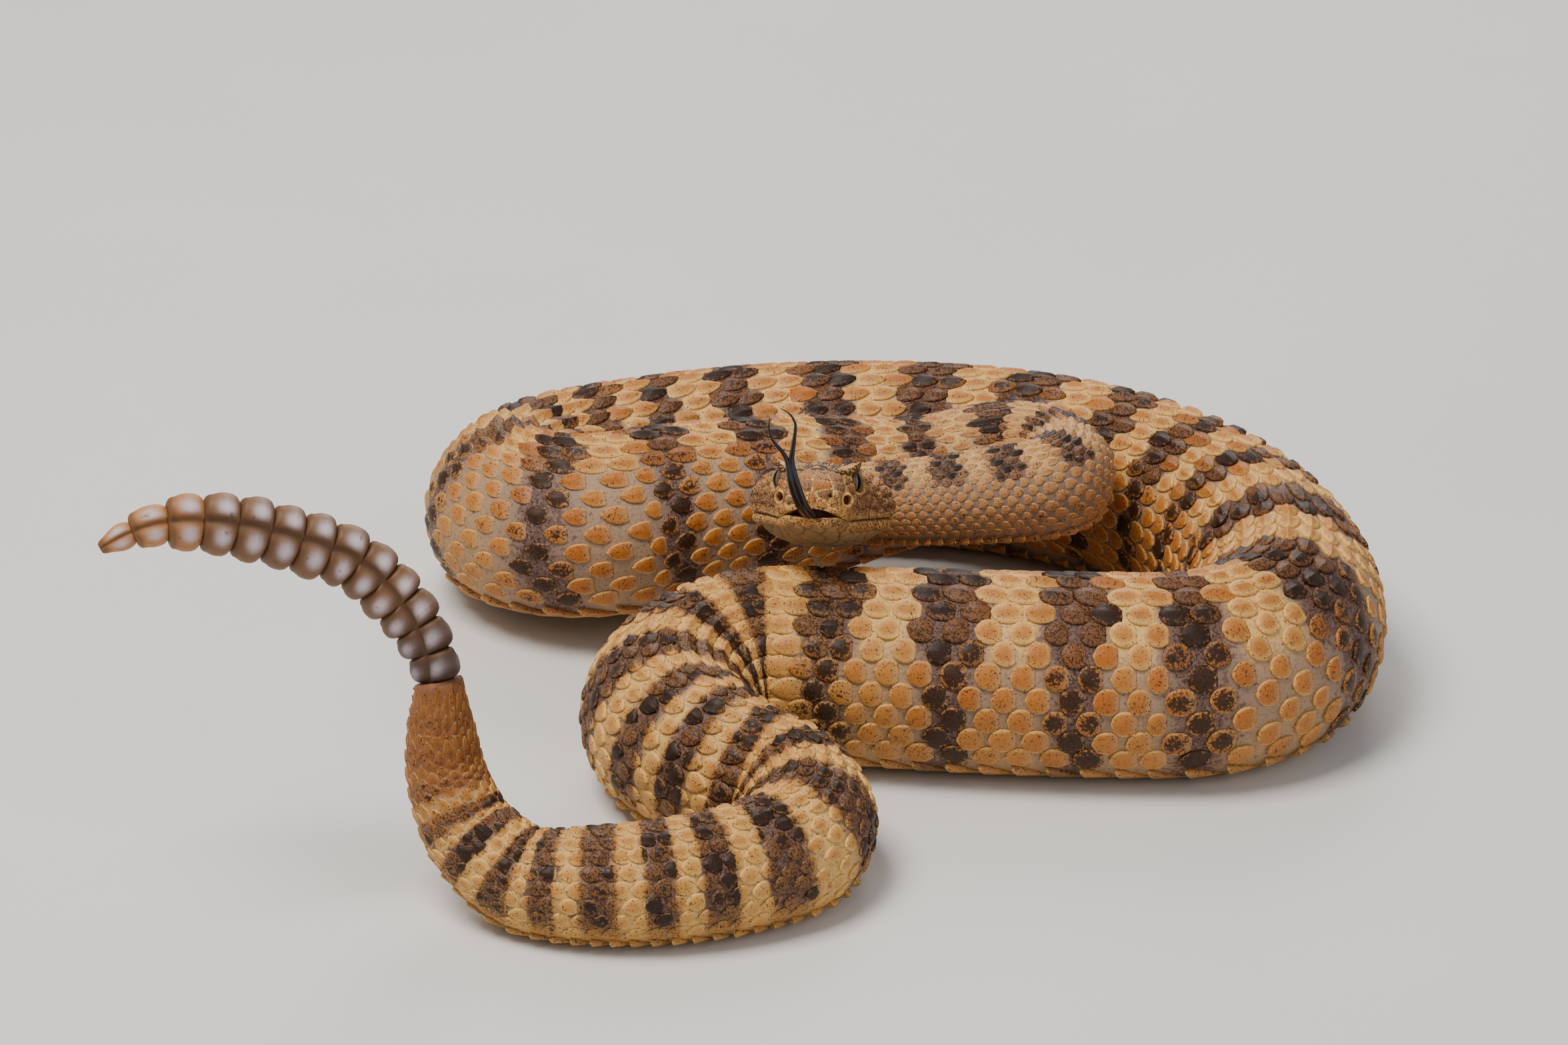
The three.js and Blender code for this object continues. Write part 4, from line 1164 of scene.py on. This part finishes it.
def rattle_material():
    paint = Paint("rattle_keratin", HORN, 0.5, 0.25)
    # Pale lavender lobe middles are painted highlights, fainter on the fresh segments near the root
    fresh = paint.between("order", 0.3, 0.0)
    # The dark colour in the side grooves is painted shade
    paint.layers(
        (HORN_WARM, "tone", 0.3), (HORN_ROOT, fresh), (HORN_TIP, paint.between("order", 0.72, 0.9)),
        (HORN_LOBE_HIGHLIGHT, "lobe_highlight", paint.scaled(fresh, -0.5, 0.9)), (GROOVE_SHADE, "groove", 0.6),
        (HORN_RIM, "rim", 0.7),
    )
    paint.specks(HORN_SPECK, 0.4, 0.9, 6.0, 0.6, 0.14)
    return paint.done(paint.noise(0.5, 8.0, 4.0), 0.06, 0.6)


def tongue_material():
    paint = Paint("tongue_wet", TONGUE_BLACK, 0.26, 0.35, 0.3)
    # Dark blue patches are a painted sheen on the black tongue
    paint.layers((TONGUE_SHEEN_BLUE, paint.between(paint.noise(2.5, 3.0), 0.4, 0.7)))
    return paint.done(paint.noise(0.3, 4.0), 0.03, 0.5)


def eye_material():
    """Grey-brown iris with a black upright slit, from how far a place lies across and up from the pupil."""
    paint = Paint("eye_glossy", IRIS, 0.35, 0.1)

    def squared(mask, reach):
        return paint.math("POWER", paint.math("DIVIDE", mask, reach, False), 2.0, False)

    def oval(half_width, half_height):
        """1 on the border of an oval round the pupil's middle, and less inside it."""
        return paint.math("ADD", squared("across", half_width), squared("rise", half_height), False)
    paint.layers(
        (IRIS_FLECK, paint.between(paint.noise(0.3, 3.0, 3.0), 0.38, 0.62)),
        (IRIS_RING, paint.between(oval(0.26, 0.74), 1.5, 0.9)),
        (PUPIL, paint.between(oval(0.15, 0.68), 1.12, 0.92)),
        # a dark ring where the ball sinks under the lids is painted shade
        (EYE_EDGE_SHADE, paint.between(oval(0.86, 0.86), 0.9, 1.1)),
    )
    return paint.done()


def floor_material():
    paint = Paint("floor_plain", FLOOR_PALE, 0.85, 0.2)
    paint.layers((FLOOR_SHADE, paint.between(paint.noise(60, 1.0), 0.3, 0.7)))
    return paint.done()


# Studio lights in metres: place, where it points, size, power and colour
LIGHTS = {
    "key": ((-0.25, -0.15, 0.75), (0, 0, 0.02), 0.35, 7.4, (1.0, 0.96, 0.9)),
    "fill": ((0.55, -0.55, 0.45), (0, 0, 0.02), 0.5, 1.4, (0.95, 0.97, 1.0)),
    "back": ((0.1, 0.7, 0.5), (0, 0, 0.03), 0.4, 3.2, (1.0, 0.98, 0.95)),
}
WORLD_COLOUR = (0.9, 0.93, 1.0, 1)
WORLD_STRENGTH = 0.38
FLOOR_SIZE = 6


def add_area(name, place, target, size, power, colour):
    light = bpy.data.lights.new(name, "AREA")
    light.energy = power
    light.size = size
    light.color = colour
    lamp = bpy.data.objects.new(name, light)
    lamp.location = place
    direction = np.array(target) - np.array(place)
    lamp.rotation_euler = (math.acos(-direction[2] / np.linalg.norm(direction)), 0,
                           math.atan2(direction[1], direction[0]) - math.pi / 2)
    bpy.context.scene.collection.objects.link(lamp)


def build_stage():
    bpy.ops.mesh.primitive_plane_add(size=FLOOR_SIZE, location=(0, 0, 0))
    floor = bpy.context.object
    floor.name = "floor"
    floor.data.materials.append(floor_material())
    world = bpy.data.worlds.new("studio")
    world.use_nodes = True
    background = world.node_tree.nodes["Background"]
    background.inputs["Color"].default_value = WORLD_COLOUR
    background.inputs["Strength"].default_value = WORLD_STRENGTH
    bpy.context.scene.world = world
    for name, light in LIGHTS.items():
        add_area(name, *light)


# Camera fitted to the outline in the photo: target in metres, degrees of downward view, millimetres of lens
CAMERA = {"target": (0.00254, 0.0281, 0.020), "distance": 1.0, "elevation": 25.0, "lens": 139.15,
          "sensor": 36, "clip": 0.05}


def build_camera():
    camera = bpy.data.cameras.new("photo_camera")
    camera.lens = CAMERA["lens"]
    camera.sensor_width = CAMERA["sensor"]
    camera.clip_start = CAMERA["clip"]
    view = bpy.data.objects.new("photo_camera", camera)
    tilt = math.radians(CAMERA["elevation"])
    x, y, z = CAMERA["target"]
    view.location = (x, y - CAMERA["distance"] * math.cos(tilt), z + CAMERA["distance"] * math.sin(tilt))
    view.rotation_euler = (math.pi / 2 - tilt, 0, 0)
    bpy.context.scene.collection.objects.link(view)
    bpy.context.scene.camera = view


build_camera()
build_stage()
build_skin(skin_material())
build_scales(scale_material())
build_scutes(scute_material())
brow_look = brow_material()
build_brow("brow_right", 1, brow_look)
build_brow("brow_left", -1, brow_look)
eye_look = eye_material()
build_eye("eye_right", 1, eye_look)
build_eye("eye_left", -1, eye_look)
build_tongue(tongue_material())
build_rattle(rattle_material())
